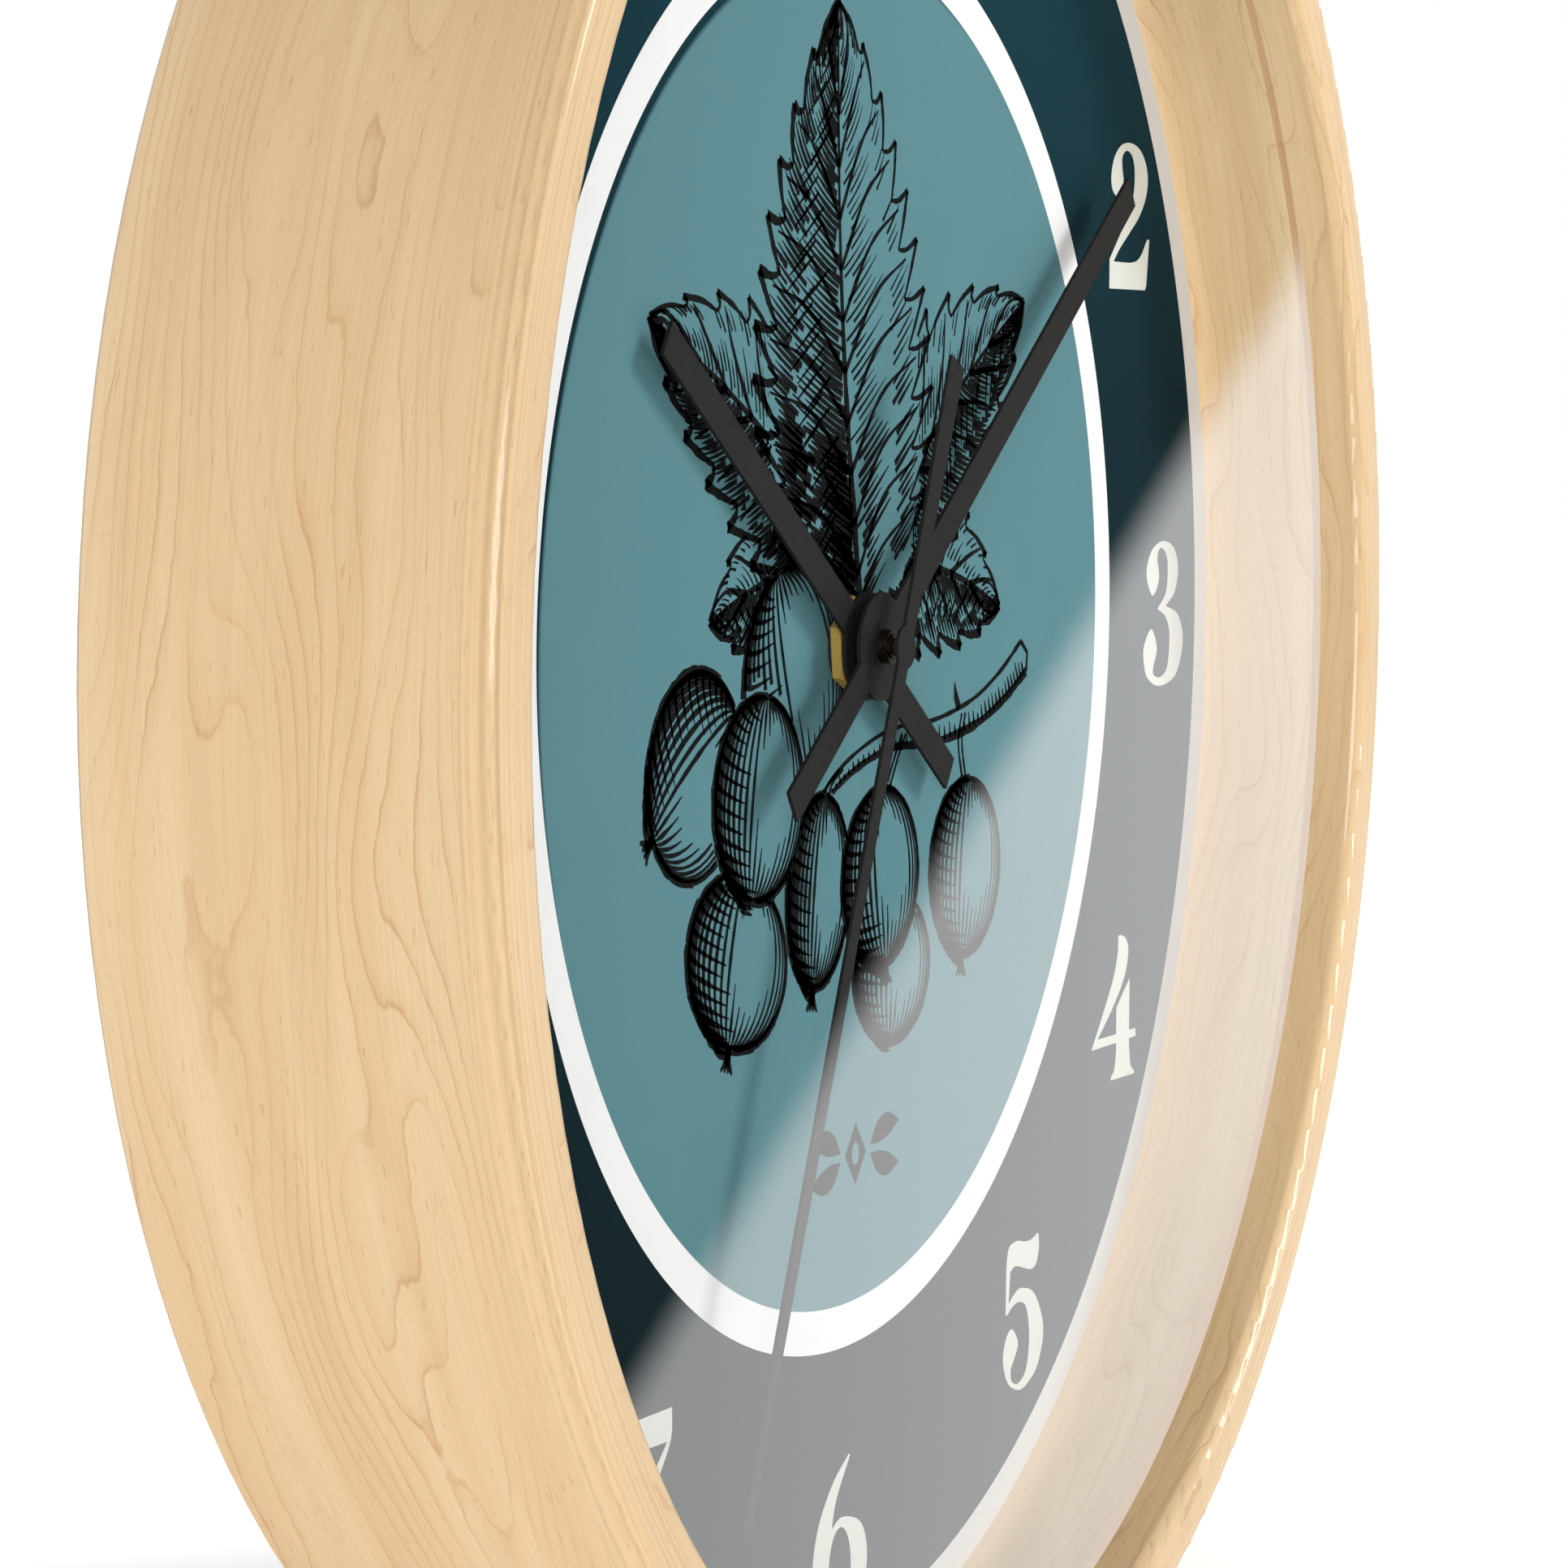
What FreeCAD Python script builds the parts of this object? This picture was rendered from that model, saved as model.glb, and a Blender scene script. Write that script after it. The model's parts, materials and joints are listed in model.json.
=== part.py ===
import FreeCAD, Part
import math
import os

# A round wall clock: a bent-maple ring frame, an acrylic lens, a printed dial on a board, three
# straight hands and a battery quartz movement with its whole wheel train.
#
# Millimetres. +X right and +Z up as seen from the front, +Y into the wall. The origin is the centre
# of the clock: on the hands' axis, half way between the wall and the frame's front edge. Every place
# along the hands' axis is given as a height above the wall, growing towards the viewer.

Vector = FreeCAD.Vector
BACKWARD = Vector(0, 1, 0)
SIDEWAYS = Vector(1, 0, 0)

# ---- driving dimensions ----
FRAME_RADIUS = 127.0            # a 10 inch clock
FRAME_DEPTH = 45.0
OPENING_RADIUS = 119.3          # the inside of the ring in front of the lens, and of both hoops
EDGE_ROUND = 1.6                # the ring's two rounded front edges
BACK_EASE = 0.6                 # the eased edge at the wall
REBATE_RADIUS = 122.0           # the recess cut from the back for lens, hoops and dial
SLIP = 0.05                     # gap that lets one piece slide into another
PRESS_GAP = 0.01                # gap between two pieces that grip each other
RUNNING_GAP = 0.1               # gap between pieces that move past each other
END_PLAY = 0.2                  # how far a pivot stops short of the outside of its bearing

LENS = (37.9, 38.9)             # heights above the wall: lowest, highest
DIAL_FACE = 22.75
PRINT_THICKNESS = 0.2
BOARD_THICKNESS = 2.8
REAR_HOOP_SETBACK = 1.0
DIAL_HOLE_RADIUS = 4.2

HOUR_ANGLE = 303.3              # where each hand points, clockwise from twelve
MINUTE_ANGLE = 55.2
SECOND_ANGLE = 204.1
HOUR_REACH = 62.5
MINUTE_REACH = 94.8
SECOND_REACH = 102.6
HOUR_TAIL = 29.2
MINUTE_TAIL = 29.2
SECOND_TAIL = 35.4
HAND_WIDTH = 4.1
BOSS_RADIUS = 6.2               # the round boss in the middle of the hour and minute hands
SECOND_BOSS_RADIUS = 2.5
SECOND_TAIL_WIDTH = 4.0
SECOND_MIDDLE_WIDTH = 2.7
SECOND_TIP_WIDTH = 1.9
HOUR_HAND = (25.15, 25.6)
HOUR_COLLAR_TOP = 26.6
HOUR_COLLAR_RADIUS = 3.35
MINUTE_HAND = (26.95, 27.4)
MINUTE_COLLAR_RADIUS = 2.6
MINUTE_NUT_TOP = 28.7
MINUTE_NUT_RADIUS = 1.95
MINUTE_NUT_SLOT = 0.6           # width of the screwdriver slot across the minute hand's nut
MINUTE_NUT_SLOT_DEPTH = 0.5
SECOND_HAND = (30.0, 30.4)
SECOND_COLLAR_BOTTOM = 29.0
SECOND_COLLAR_RADIUS = 0.95

CASE_HALF = 28.0                # the movement's square case is 56 wide
CASE_WALL = 1.2
CASE_CORNER = 3.0
CASE_FRONT = 18.95
CASE_INNER_FRONT = 17.75
CASE_SPLIT = 5.2                # where the front case meets the back case
CASE_BACK = 3.95
NOSE_RADIUS = 3.95              # the threaded nose, a nominal 8 mm
NOSE_BORE = 2.65
NOSE_TOP = 25.0
WASHER_THICKNESS = 0.5
WASHER_RADIUS = 4.9
NUT_THICKNESS = 1.25
NUT_ACROSS_FLATS = 10.0
NUT_CHAMFER = 0.5               # how much the nut's front corners are turned off
NUT_TURN = math.radians(97.0)   # where tightening left one corner of the nut
GASKET_RADIUS = 10.0
POST_RADIUS = 1.5
STAKE_RADIUS = 0.6
STAKE_HEAD = 0.4                # how far a melted stake stands behind the circuit board
PLATE_LEGS = [(-14.5, 9.5), (17.5, 11.0), (17.5, -8.5), (-14.5, -8.5)]
BRIDGE_POSTS = [(-8.6, -5.4), (18.4, 9.2), (-12.5, 7.5)]
BOARD_POSTS = [(-21.5, 21.5), (21.5, 21.5)]
CATCH_X = 10.0                  # the back cover's two catches, left and right of the middle
CATCH_HALF_WIDTH = 2.0
CATCH_THICKNESS = 0.6
CATCH_REACH = 1.5

BATTERY_RADIUS = 7.1            # an AA cell
BATTERY_LENGTH = 50.5
BATTERY_NUB_RADIUS = 2.75
BATTERY_NUB_LENGTH = 1.3
BATTERY_ROUND = 0.6
BAY_TOP = -11.8
BAY_FLOOR = 18.35
STRIP_THICKNESS = 0.3           # the sprung strip the battery contacts are bent from
CONTACT_SLOT = 0.7              # how far the contacts' slots reach in from the case's side walls
CONTACT_CLEARANCE = 1.0
CONTACT_LOW = 7.0
CONTACT_HIGH = 13.0
CONTACT_TOP = 24.5
CONTACT_KNEE = -13.0            # where a contact leaves the wall to reach for the battery
CONTACT_TOUCH_HALF = 2.0
CONTACT_FOOT = -25.5
CONTACT_TAB_X = 23.8            # the tab soldered to the circuit board
CONTACT_TAB_BOTTOM = 20.5

# Wheel train. Each level is the pair of heights between which its teeth lie.
HOUR_LEVEL = (16.7, 17.6)
MINUTE_LEVEL = (15.6, 16.5)
CENTRE_LEVEL = (14.5, 15.4)
THIRD_LEVEL = (12.3, 13.1)
SECOND_LEVEL = (11.3, 12.0)
STEP_LEVEL = (10.3, 11.0)
MIDDLE_PLATE = (13.3, 14.3)
BRIDGE = (8.9, 9.9)
STATOR = (12.3, 13.3)
CORE = (11.3, 12.3)
CIRCUIT_BOARD = (7.0, 8.0)

# The hanger: a block under the crown with a keyhole plate screwed to its back.
HANGER_HALF_WIDTH = 22.0
HANGER_BOTTOM = 98.0
BLOCK_BACK = 4.0
PLATE_THICKNESS = 1.5
PLATE_HALF_WIDTH = 20.0
PLATE_BOTTOM = 99.5
PLATE_TOP = 115.5
PLATE_CORNER = 3.0
KEYHOLE_Z = 105.0
KEYHOLE_RADIUS = 4.5
KEY_SLOT_RADIUS = 2.25
KEY_SLOT_TOP = 111.0
POCKET_HALF_WIDTH = 6.0
POCKET_DEPTH = 10.0
HANGER_SCREW_X = 14.0
HANGER_SCREW_Z = 107.5
HANGER_SCREW_RADIUS = 1.5
HANGER_HEAD_RADIUS = 3.0
HANGER_SCREW_LENGTH = 11.0
HANGER_SLOT = 0.7               # width and depth of the screwdriver slot

PRESSURE_ANGLE = math.radians(25.0)
ADDENDUM = 0.8                  # tooth height above and below the pitch circle, in modules
DEDENDUM = 1.0
TOOTH_THINNING = 0.10           # backlash taken from each tooth, in modules

SECOND_TEETH = 60
STEP_PINION_TEETH = 10
STEP_TEETH = 50
ROTOR_TEETH = 10
FAST_MODULE = 0.25
FAST_SHIFT = 0.1                # profile shift that keeps small pinions strong, in modules
SECOND_PINION_TEETH = 8
THIRD_TEETH = 60
THIRD_PINION_TEETH = 8
CENTRE_TEETH = 64
CENTRE_MODULE = 0.3
SLOW_SHIFT = 0.2
CANNON_TEETH = 12
MINUTE_TEETH = 36
MINUTE_PINION_TEETH = 10
HOUR_TEETH = 40
KNOB_TEETH = 12
MINUTE_MODULE = 0.375

SECOND_ARBOR_RADIUS = 0.55
MINUTE_TUBE_RADIUS = 1.7
MINUTE_TUBE_BORE = 0.65
MINUTE_SEAT_RADIUS = 1.4
HOUR_TUBE_RADIUS = 2.55
HOUR_TUBE_BORE = 1.8
ARBOR_RADIUS = 0.5
PIVOT_RADIUS = 0.3
PIVOT_HOLE_RADIUS = 0.35
SECONDS_HUB_RADIUS = 1.4
MINUTE_STUD_RADIUS = 0.75
MINUTE_HUB_RADIUS = 1.2
THIRD_BOSS_RADIUS = 1.2
ARBOR_CLEARANCE = 0.3
MIDDLE_PLATE_EDGES = (-16.5, 20.5, -10.4, 18.2)     # left, right, bottom, top
MIDDLE_PLATE_CORNER = 1.5
SCREW_HEAD_RADIUS = 1.3
SCREW_HEAD_DEPTH = 0.9
SCREW_CROSS = (0.9, 0.2)        # half length and half width of the screwdriver cross

KNOB_RADIUS = 4.5
KNOB_THICKNESS = 1.5
KNOB_GROOVES = 24
KNOB_GROOVE_RADIUS = 0.35
KNOB_SHAFT_RADIUS = 1.0
KNOB_PIVOT_RADIUS = 0.6
KNOB_PIVOT_DEPTH = 0.8

ROTOR_HEIGHT = 15.0             # the rotor's axis above the hands' axis
ROTOR_WELL_RADIUS = 3.6
MAGNET_RADIUS = 3.0
MAGNET_BORE = 0.9
NOTCH_RADIUS = 0.5
NOTCH_TURN = math.radians(20.0)
STATOR_HALF_WIDTH = 14.0
STATOR_HALF_HEIGHT = 4.0
EAR_INNER = 10.6                # where the stator's two upright ears begin, left and right
COIL_HEIGHT = 22.6              # the coil's middle above the hands' axis
COIL_RADIUS = 3.1
CORE_HALF_HEIGHT = 1.5
CORE_SCREW_X = 12.2
BOBBIN_HALF = 3.4
BOBBIN_END = 9.6
BOBBIN_WALL = 0.6
FLANGE = 0.8

BOARD_HALF_WIDTH = 25.9
BOARD_BOTTOM = 17.0
BOARD_TOP = 25.9
CHIP_PLACE = (-9.0, 21.5)
CHIP_CURVE = 4.0                # radius of the resin drop's dome
CHIP_HEIGHT = 1.2
CRYSTAL_PLACE = (4.0, 21.5)
CRYSTAL_RADIUS = 0.75
CRYSTAL_LENGTH = 6.0
LEAD_RADIUS = 0.12
LEAD_OFFSET = 0.35
LEAD_REACH = 1.5

# ---- derived sizes ----
WALL = FRAME_DEPTH / 2
PRINT_BACK = DIAL_FACE - PRINT_THICKNESS
BOARD_BACK = PRINT_BACK - BOARD_THICKNESS
CHAMBER_HALF = CASE_HALF - CASE_WALL
BAY_BOTTOM = -CHAMBER_HALF
CHAMBER_BOTTOM = BAY_TOP + 1.0
BATTERY_HEIGHT = BAY_FLOOR - SLIP - BATTERY_RADIUS
BATTERY_Z = (BAY_TOP + BAY_BOTTOM) / 2
MINUTE_NUT_SEAT = MINUTE_HAND[1] + RUNNING_GAP
THIRD_BOSS_FOOT = CENTRE_LEVEL[1] + 0.5
CONTACT_TOUCH = BATTERY_LENGTH / 2 + STRIP_THICKNESS / 2 + SLIP

THIRD_DISTANCE = CENTRE_MODULE * (CENTRE_TEETH + THIRD_PINION_TEETH) / 2
THIRD_MODULE = 2 * THIRD_DISTANCE / (THIRD_TEETH + SECOND_PINION_TEETH)
MINUTE_DISTANCE = MINUTE_MODULE * (MINUTE_TEETH + CANNON_TEETH) / 2
HOUR_MODULE = 2 * MINUTE_DISTANCE / (HOUR_TEETH + MINUTE_PINION_TEETH)
STEP_DISTANCE = FAST_MODULE * (SECOND_TEETH + STEP_PINION_TEETH) / 2
ROTOR_DISTANCE = FAST_MODULE * (STEP_TEETH + ROTOR_TEETH) / 2

STEP_Z = (STEP_DISTANCE ** 2 - ROTOR_DISTANCE ** 2 + ROTOR_HEIGHT ** 2) / (2 * ROTOR_HEIGHT)
STEP_X = -math.sqrt(STEP_DISTANCE ** 2 - STEP_Z ** 2)
CENTRE_AXIS = (0.0, 0.0)
THIRD_AXIS = (THIRD_DISTANCE, 0.0)
MINUTE_AXIS = (-MINUTE_DISTANCE, 0.0)
KNOB_AXIS = (-MINUTE_DISTANCE - MINUTE_MODULE * (MINUTE_TEETH + KNOB_TEETH) / 2, 0.0)
STEP_AXIS = (STEP_X, STEP_Z)
ROTOR_AXIS = (0.0, ROTOR_HEIGHT)


# ---- shape helpers ----
def rod(radius, low, high, axis=CENTRE_AXIS):
    """A round bar parallel to the hands' axis, between two heights above the wall."""
    return Part.makeCylinder(radius, high - low, Vector(axis[0], WALL - high, axis[1]), BACKWARD)


def tube(outer, inner, low, high, axis=CENTRE_AXIS):
    return rod(outer, low, high, axis).cut(rod(inner, low, high, axis))


def block(left, right, bottom, top, low, high):
    """A box from left to right and bottom to top, between two heights above the wall."""
    corner = Vector(left, WALL - high, bottom)
    return Part.makeBox(right - left, high - low, top - bottom, corner)


def prism(outline, low, high):
    """A flat plate of any straight-sided outline, given as (x, z) points."""
    points = [Vector(x, WALL - high, z) for x, z in outline]
    return Part.Face(Part.makePolygon(points + points[:1])).extrude(BACKWARD * (high - low))


def rounded_block(left, right, bottom, top, low, high, corner):
    """A box whose four edges along the hands' axis are rounded."""
    body = block(left, right, bottom, top, low, high)
    edges = [edge for edge in body.Edges if abs(edge.tangentAt(edge.FirstParameter).y) > 0.9]
    return body.makeFillet(corner, edges)


def joined(shapes):
    return shapes[0].fuse(shapes[1:]).removeSplitter()


def spun(points):
    """A solid of revolution about the hands' axis; the outline is (radius, height) points."""
    corners = [Vector(radius, WALL - height, 0) for radius, height in points]
    face = Part.Face(Part.makePolygon(corners + corners[:1]))
    return face.revolve(Vector(0, 0, 0), BACKWARD, 360)


# ---- toothed wheels ----
def involute(angle):
    return math.tan(angle) - angle


def polar(radius, angle):
    return Vector(radius * math.cos(angle), 0, radius * math.sin(angle))


def toothed_disc(teeth, module, shift, level, axis, phase):
    """An involute gear blank; phase is the direction of one tooth's centre line, in radians."""
    pitch = teeth * module / 2
    base = pitch * math.cos(PRESSURE_ANGLE)
    tip = pitch + (ADDENDUM + shift) * module
    root = pitch - (DEDENDUM - shift) * module
    thickness = math.pi / 2 + 2 * shift * math.tan(PRESSURE_ANGLE) - TOOTH_THINNING
    half_pitch_angle = thickness * module / (2 * pitch)
    foot = max(base, root)

    def half_angle(radius):
        return half_pitch_angle + involute(PRESSURE_ANGLE) - involute(math.acos(base / radius))

    edges = []
    step = 2 * math.pi / teeth
    middle = (foot + tip) / 2
    for number in range(teeth):
        centre = phase + number * step
        rising = [polar(r, centre - half_angle(r)) for r in (foot, middle, tip)]
        falling = [polar(r, centre + half_angle(r)) for r in (tip, middle, foot)]
        root_start = polar(root, centre + half_angle(foot))
        root_middle = polar(root, centre + step / 2)
        root_end = polar(root, centre + step - half_angle(foot))
        if root < base:
            edges.append(Part.makeLine(polar(root, centre - half_angle(foot)), rising[0]))
        edges.append(Part.Arc(*rising).toShape())
        edges.append(Part.Arc(rising[2], polar(tip, centre), falling[0]).toShape())
        edges.append(Part.Arc(*falling).toShape())
        if root < base:
            edges.append(Part.makeLine(falling[2], root_start))
        edges.append(Part.Arc(root_start, root_middle, root_end).toShape())
    disc = Part.Face(Part.Wire(edges)).extrude(BACKWARD * (level[1] - level[0]))
    disc.translate(Vector(axis[0], WALL - level[1], axis[1]))
    return disc


def meshed_phase(teeth, phase, axis, other_teeth, other_axis):
    """The phase another wheel needs for one of its gaps to meet this wheel's teeth."""
    bearing = math.atan2(other_axis[1] - axis[1], other_axis[0] - axis[0])
    return bearing + math.pi + (teeth * (bearing - phase) - math.pi) / other_teeth


STEP_PINION_PHASE = meshed_phase(SECOND_TEETH, 0.0, CENTRE_AXIS, STEP_PINION_TEETH, STEP_AXIS)
ROTOR_PHASE = meshed_phase(STEP_TEETH, 0.0, STEP_AXIS, ROTOR_TEETH, ROTOR_AXIS)
THIRD_PHASE = meshed_phase(SECOND_PINION_TEETH, 0.0, CENTRE_AXIS, THIRD_TEETH, THIRD_AXIS)
CENTRE_PHASE = meshed_phase(THIRD_PINION_TEETH, 0.0, THIRD_AXIS, CENTRE_TEETH, CENTRE_AXIS)
MINUTE_PHASE = meshed_phase(CANNON_TEETH, 0.0, CENTRE_AXIS, MINUTE_TEETH, MINUTE_AXIS)
HOUR_PHASE = meshed_phase(MINUTE_PINION_TEETH, 0.0, MINUTE_AXIS, HOUR_TEETH, CENTRE_AXIS)
KNOB_PHASE = meshed_phase(MINUTE_TEETH, MINUTE_PHASE, MINUTE_AXIS, KNOB_TEETH, KNOB_AXIS)


# ---- frame, lens and dial ----
def frame_ring():
    """The maple ring: rounded front edges, and a rebate from the back up to the lens."""
    lens_top = LENS[1]
    outline = [
        (REBATE_RADIUS, 0.0),
        (FRAME_RADIUS - BACK_EASE, 0.0),
        (FRAME_RADIUS, BACK_EASE),
        (FRAME_RADIUS, FRAME_DEPTH),
        (OPENING_RADIUS, FRAME_DEPTH),
        (OPENING_RADIUS, lens_top),
        (REBATE_RADIUS, lens_top),
    ]
    ring = spun(outline)
    front = [edge for edge in ring.Edges if abs(edge.BoundBox.YMax - (WALL - FRAME_DEPTH)) < 1e-6]
    return ring.makeFillet(EDGE_ROUND, front)


def acrylic_lens():
    return rod(REBATE_RADIUS - SLIP, *LENS)


def spacer_hoop():
    """The thin hoop that keeps the lens off the dial."""
    return tube(REBATE_RADIUS - SLIP, OPENING_RADIUS, DIAL_FACE, LENS[0])


def dial_print():
    return tube(REBATE_RADIUS - SLIP, DIAL_HOLE_RADIUS, PRINT_BACK, DIAL_FACE)


def dial_board():
    return tube(REBATE_RADIUS - SLIP, DIAL_HOLE_RADIUS, BOARD_BACK, PRINT_BACK)


def rear_hoop():
    """The hoop glued in behind the dial board to hold it."""
    return tube(REBATE_RADIUS - SLIP, OPENING_RADIUS, REAR_HOOP_SETBACK, BOARD_BACK)


# ---- hanger ----
def hanger_screw_axes():
    return [(side * HANGER_SCREW_X, HANGER_SCREW_Z) for side in (-1, 1)]


def hanger_screw(axis):
    """A flat-headed wood screw entering from the back; its head is flush with the plate's face."""
    outer_face = BLOCK_BACK - PLATE_THICKNESS
    cone_depth = HANGER_HEAD_RADIUS - HANGER_SCREW_RADIUS
    base = Vector(axis[0], WALL - outer_face, axis[1])
    cone = Part.makeCone(HANGER_HEAD_RADIUS, HANGER_SCREW_RADIUS, cone_depth, base, -BACKWARD)
    shank = rod(HANGER_SCREW_RADIUS, outer_face + cone_depth, outer_face + HANGER_SCREW_LENGTH, axis)
    return joined([cone, shank])


def hanger_block():
    """A wooden block glued under the ring's crown, hollowed behind the keyhole."""
    body = block(-HANGER_HALF_WIDTH, HANGER_HALF_WIDTH, HANGER_BOTTOM, FRAME_RADIUS,
                 BLOCK_BACK, BOARD_BACK)
    body = body.common(rod(OPENING_RADIUS, BLOCK_BACK, BOARD_BACK))
    pocket = rounded_block(
        -POCKET_HALF_WIDTH, POCKET_HALF_WIDTH, KEYHOLE_Z - POCKET_HALF_WIDTH,
        KEY_SLOT_TOP + KEY_SLOT_RADIUS, BLOCK_BACK, BLOCK_BACK + POCKET_DEPTH, KEY_SLOT_RADIUS)
    body = body.cut(pocket)
    for axis in hanger_screw_axes():
        body = body.cut(rod(HANGER_SCREW_RADIUS, BLOCK_BACK, BLOCK_BACK + HANGER_SCREW_LENGTH, axis))
    return body


def keyhole_plate():
    """The pressed-steel plate the wall screw hooks into."""
    low = BLOCK_BACK - PLATE_THICKNESS
    plate = rounded_block(-PLATE_HALF_WIDTH, PLATE_HALF_WIDTH, PLATE_BOTTOM, PLATE_TOP, low, BLOCK_BACK,
                          PLATE_CORNER)
    plate = plate.cut(rod(KEYHOLE_RADIUS, low, BLOCK_BACK, (0, KEYHOLE_Z)))
    plate = plate.cut(rod(KEY_SLOT_RADIUS, low, BLOCK_BACK, (0, KEY_SLOT_TOP)))
    slot = block(-KEY_SLOT_RADIUS, KEY_SLOT_RADIUS, KEYHOLE_Z, KEY_SLOT_TOP, low, BLOCK_BACK)
    plate = plate.cut(slot)
    for axis in hanger_screw_axes():
        plate = plate.cut(hanger_screw(axis))
    return plate


def keyhole_screws():
    low = BLOCK_BACK - PLATE_THICKNESS
    screws = []
    for axis in hanger_screw_axes():
        slot = block(axis[0] - HANGER_HEAD_RADIUS, axis[0] + HANGER_HEAD_RADIUS,
                     axis[1] - HANGER_SLOT / 2, axis[1] + HANGER_SLOT / 2, low, low + HANGER_SLOT)
        screws.append(hanger_screw(axis).cut(slot))
    return Part.makeCompound(screws)


# ---- movement case ----
def movement_front_case():
    """The black tray that holds the train, with the battery bay below and the threaded nose."""
    body = rounded_block(-CASE_HALF, CASE_HALF, -CASE_HALF, CASE_HALF, CASE_SPLIT, CASE_FRONT, CASE_CORNER)
    chamber = block(-CHAMBER_HALF, CHAMBER_HALF, CHAMBER_BOTTOM, CHAMBER_HALF, CASE_SPLIT, CASE_INNER_FRONT)
    bay = block(-CHAMBER_HALF, CHAMBER_HALF, BAY_BOTTOM, BAY_TOP, CASE_SPLIT, BAY_FLOOR)
    body = body.cut([chamber, bay])
    for side in (-1, 1):
        inner = side * (CHAMBER_HALF - CONTACT_SLOT)
        left, right = sorted((inner, side * CHAMBER_HALF))
        slot = block(left, right, BAY_TOP, CHAMBER_BOTTOM,
                     CONTACT_LOW - CONTACT_CLEARANCE, CONTACT_HIGH + CONTACT_CLEARANCE)
        body = body.cut(slot)
    posts = [rod(POST_RADIUS, MIDDLE_PLATE[1], CASE_INNER_FRONT, axis) for axis in PLATE_LEGS]
    for axis in BOARD_POSTS:
        posts.append(rod(POST_RADIUS, CIRCUIT_BOARD[1], CASE_INNER_FRONT, axis))
        posts.append(rod(STAKE_RADIUS, CIRCUIT_BOARD[0] - STAKE_HEAD, CIRCUIT_BOARD[1], axis))
    third_boss = rod(THIRD_BOSS_RADIUS, THIRD_BOSS_FOOT, CASE_INNER_FRONT, THIRD_AXIS)
    minute_stud = rod(MINUTE_STUD_RADIUS, MINUTE_LEVEL[0], CASE_INNER_FRONT, MINUTE_AXIS)
    nose = rod(NOSE_RADIUS, CASE_FRONT, NOSE_TOP)
    body = joined([body, nose, third_boss, minute_stud] + posts)
    holes = [
        rod(NOSE_BORE, CASE_INNER_FRONT, NOSE_TOP),
        rod(PIVOT_HOLE_RADIUS, THIRD_BOSS_FOOT, CASE_INNER_FRONT, THIRD_AXIS),
        rod(KNOB_PIVOT_RADIUS + SLIP, CASE_INNER_FRONT, CASE_INNER_FRONT + KNOB_PIVOT_DEPTH, KNOB_AXIS),
    ]
    return body.cut(holes)


def movement_back_case():
    """The flat rear cover, open over the battery, with the setting knob's hole."""
    cover = rounded_block(-CASE_HALF, CASE_HALF, -CASE_HALF, CASE_HALF, CASE_BACK, CASE_SPLIT, CASE_CORNER)
    opening = block(-CHAMBER_HALF, CHAMBER_HALF, BAY_BOTTOM, BAY_TOP, CASE_BACK, CASE_SPLIT)
    cover = cover.cut([opening, rod(KNOB_SHAFT_RADIUS + SLIP, CASE_BACK, CASE_SPLIT, KNOB_AXIS)])
    catch_top = CHAMBER_HALF - SLIP
    catches = []
    for middle in (-CATCH_X, CATCH_X):
        catches.append(block(middle - CATCH_HALF_WIDTH, middle + CATCH_HALF_WIDTH,
                             catch_top - CATCH_THICKNESS, catch_top, CASE_SPLIT, CASE_SPLIT + CATCH_REACH))
    return joined([cover] + catches)


def rubber_gasket():
    return tube(GASKET_RADIUS, NOSE_RADIUS + SLIP, CASE_FRONT, BOARD_BACK)


def fibre_washer():
    return tube(WASHER_RADIUS, NOSE_RADIUS + SLIP, DIAL_FACE, DIAL_FACE + WASHER_THICKNESS)


def hex_nut():
    """A thin brass nut with its front corners turned off."""
    low = DIAL_FACE + WASHER_THICKNESS
    high = low + NUT_THICKNESS
    corner = NUT_ACROSS_FLATS / math.sqrt(3)
    outline = []
    for number in range(6):
        turn = NUT_TURN + number * math.pi / 3
        outline.append((corner * math.cos(turn), corner * math.sin(turn)))
    front_radius = corner - NUT_CHAMFER
    chamfer = Part.makeCone(front_radius + NUT_THICKNESS, front_radius, NUT_THICKNESS,
                            Vector(0, WALL - low, 0), -BACKWARD)
    return prism(outline, low, high).common(chamfer).cut(rod(NOSE_RADIUS + SLIP, low, high))


def middle_plate():
    """The plate between the slow wheels in front and the fast wheels behind."""
    plate = rounded_block(*MIDDLE_PLATE_EDGES, *MIDDLE_PLATE, MIDDLE_PLATE_CORNER)
    holes = [rod(MINUTE_TUBE_RADIUS + SLIP, *MIDDLE_PLATE)]
    holes.append(rod(ARBOR_RADIUS + ARBOR_CLEARANCE, *MIDDLE_PLATE, THIRD_AXIS))
    holes += [rod(PIVOT_HOLE_RADIUS, *MIDDLE_PLATE, axis) for axis in (STEP_AXIS, ROTOR_AXIS)]
    holes += [rod(STAKE_RADIUS + SLIP, *MIDDLE_PLATE, axis) for axis in BRIDGE_POSTS]
    return plate.cut(holes)


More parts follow.
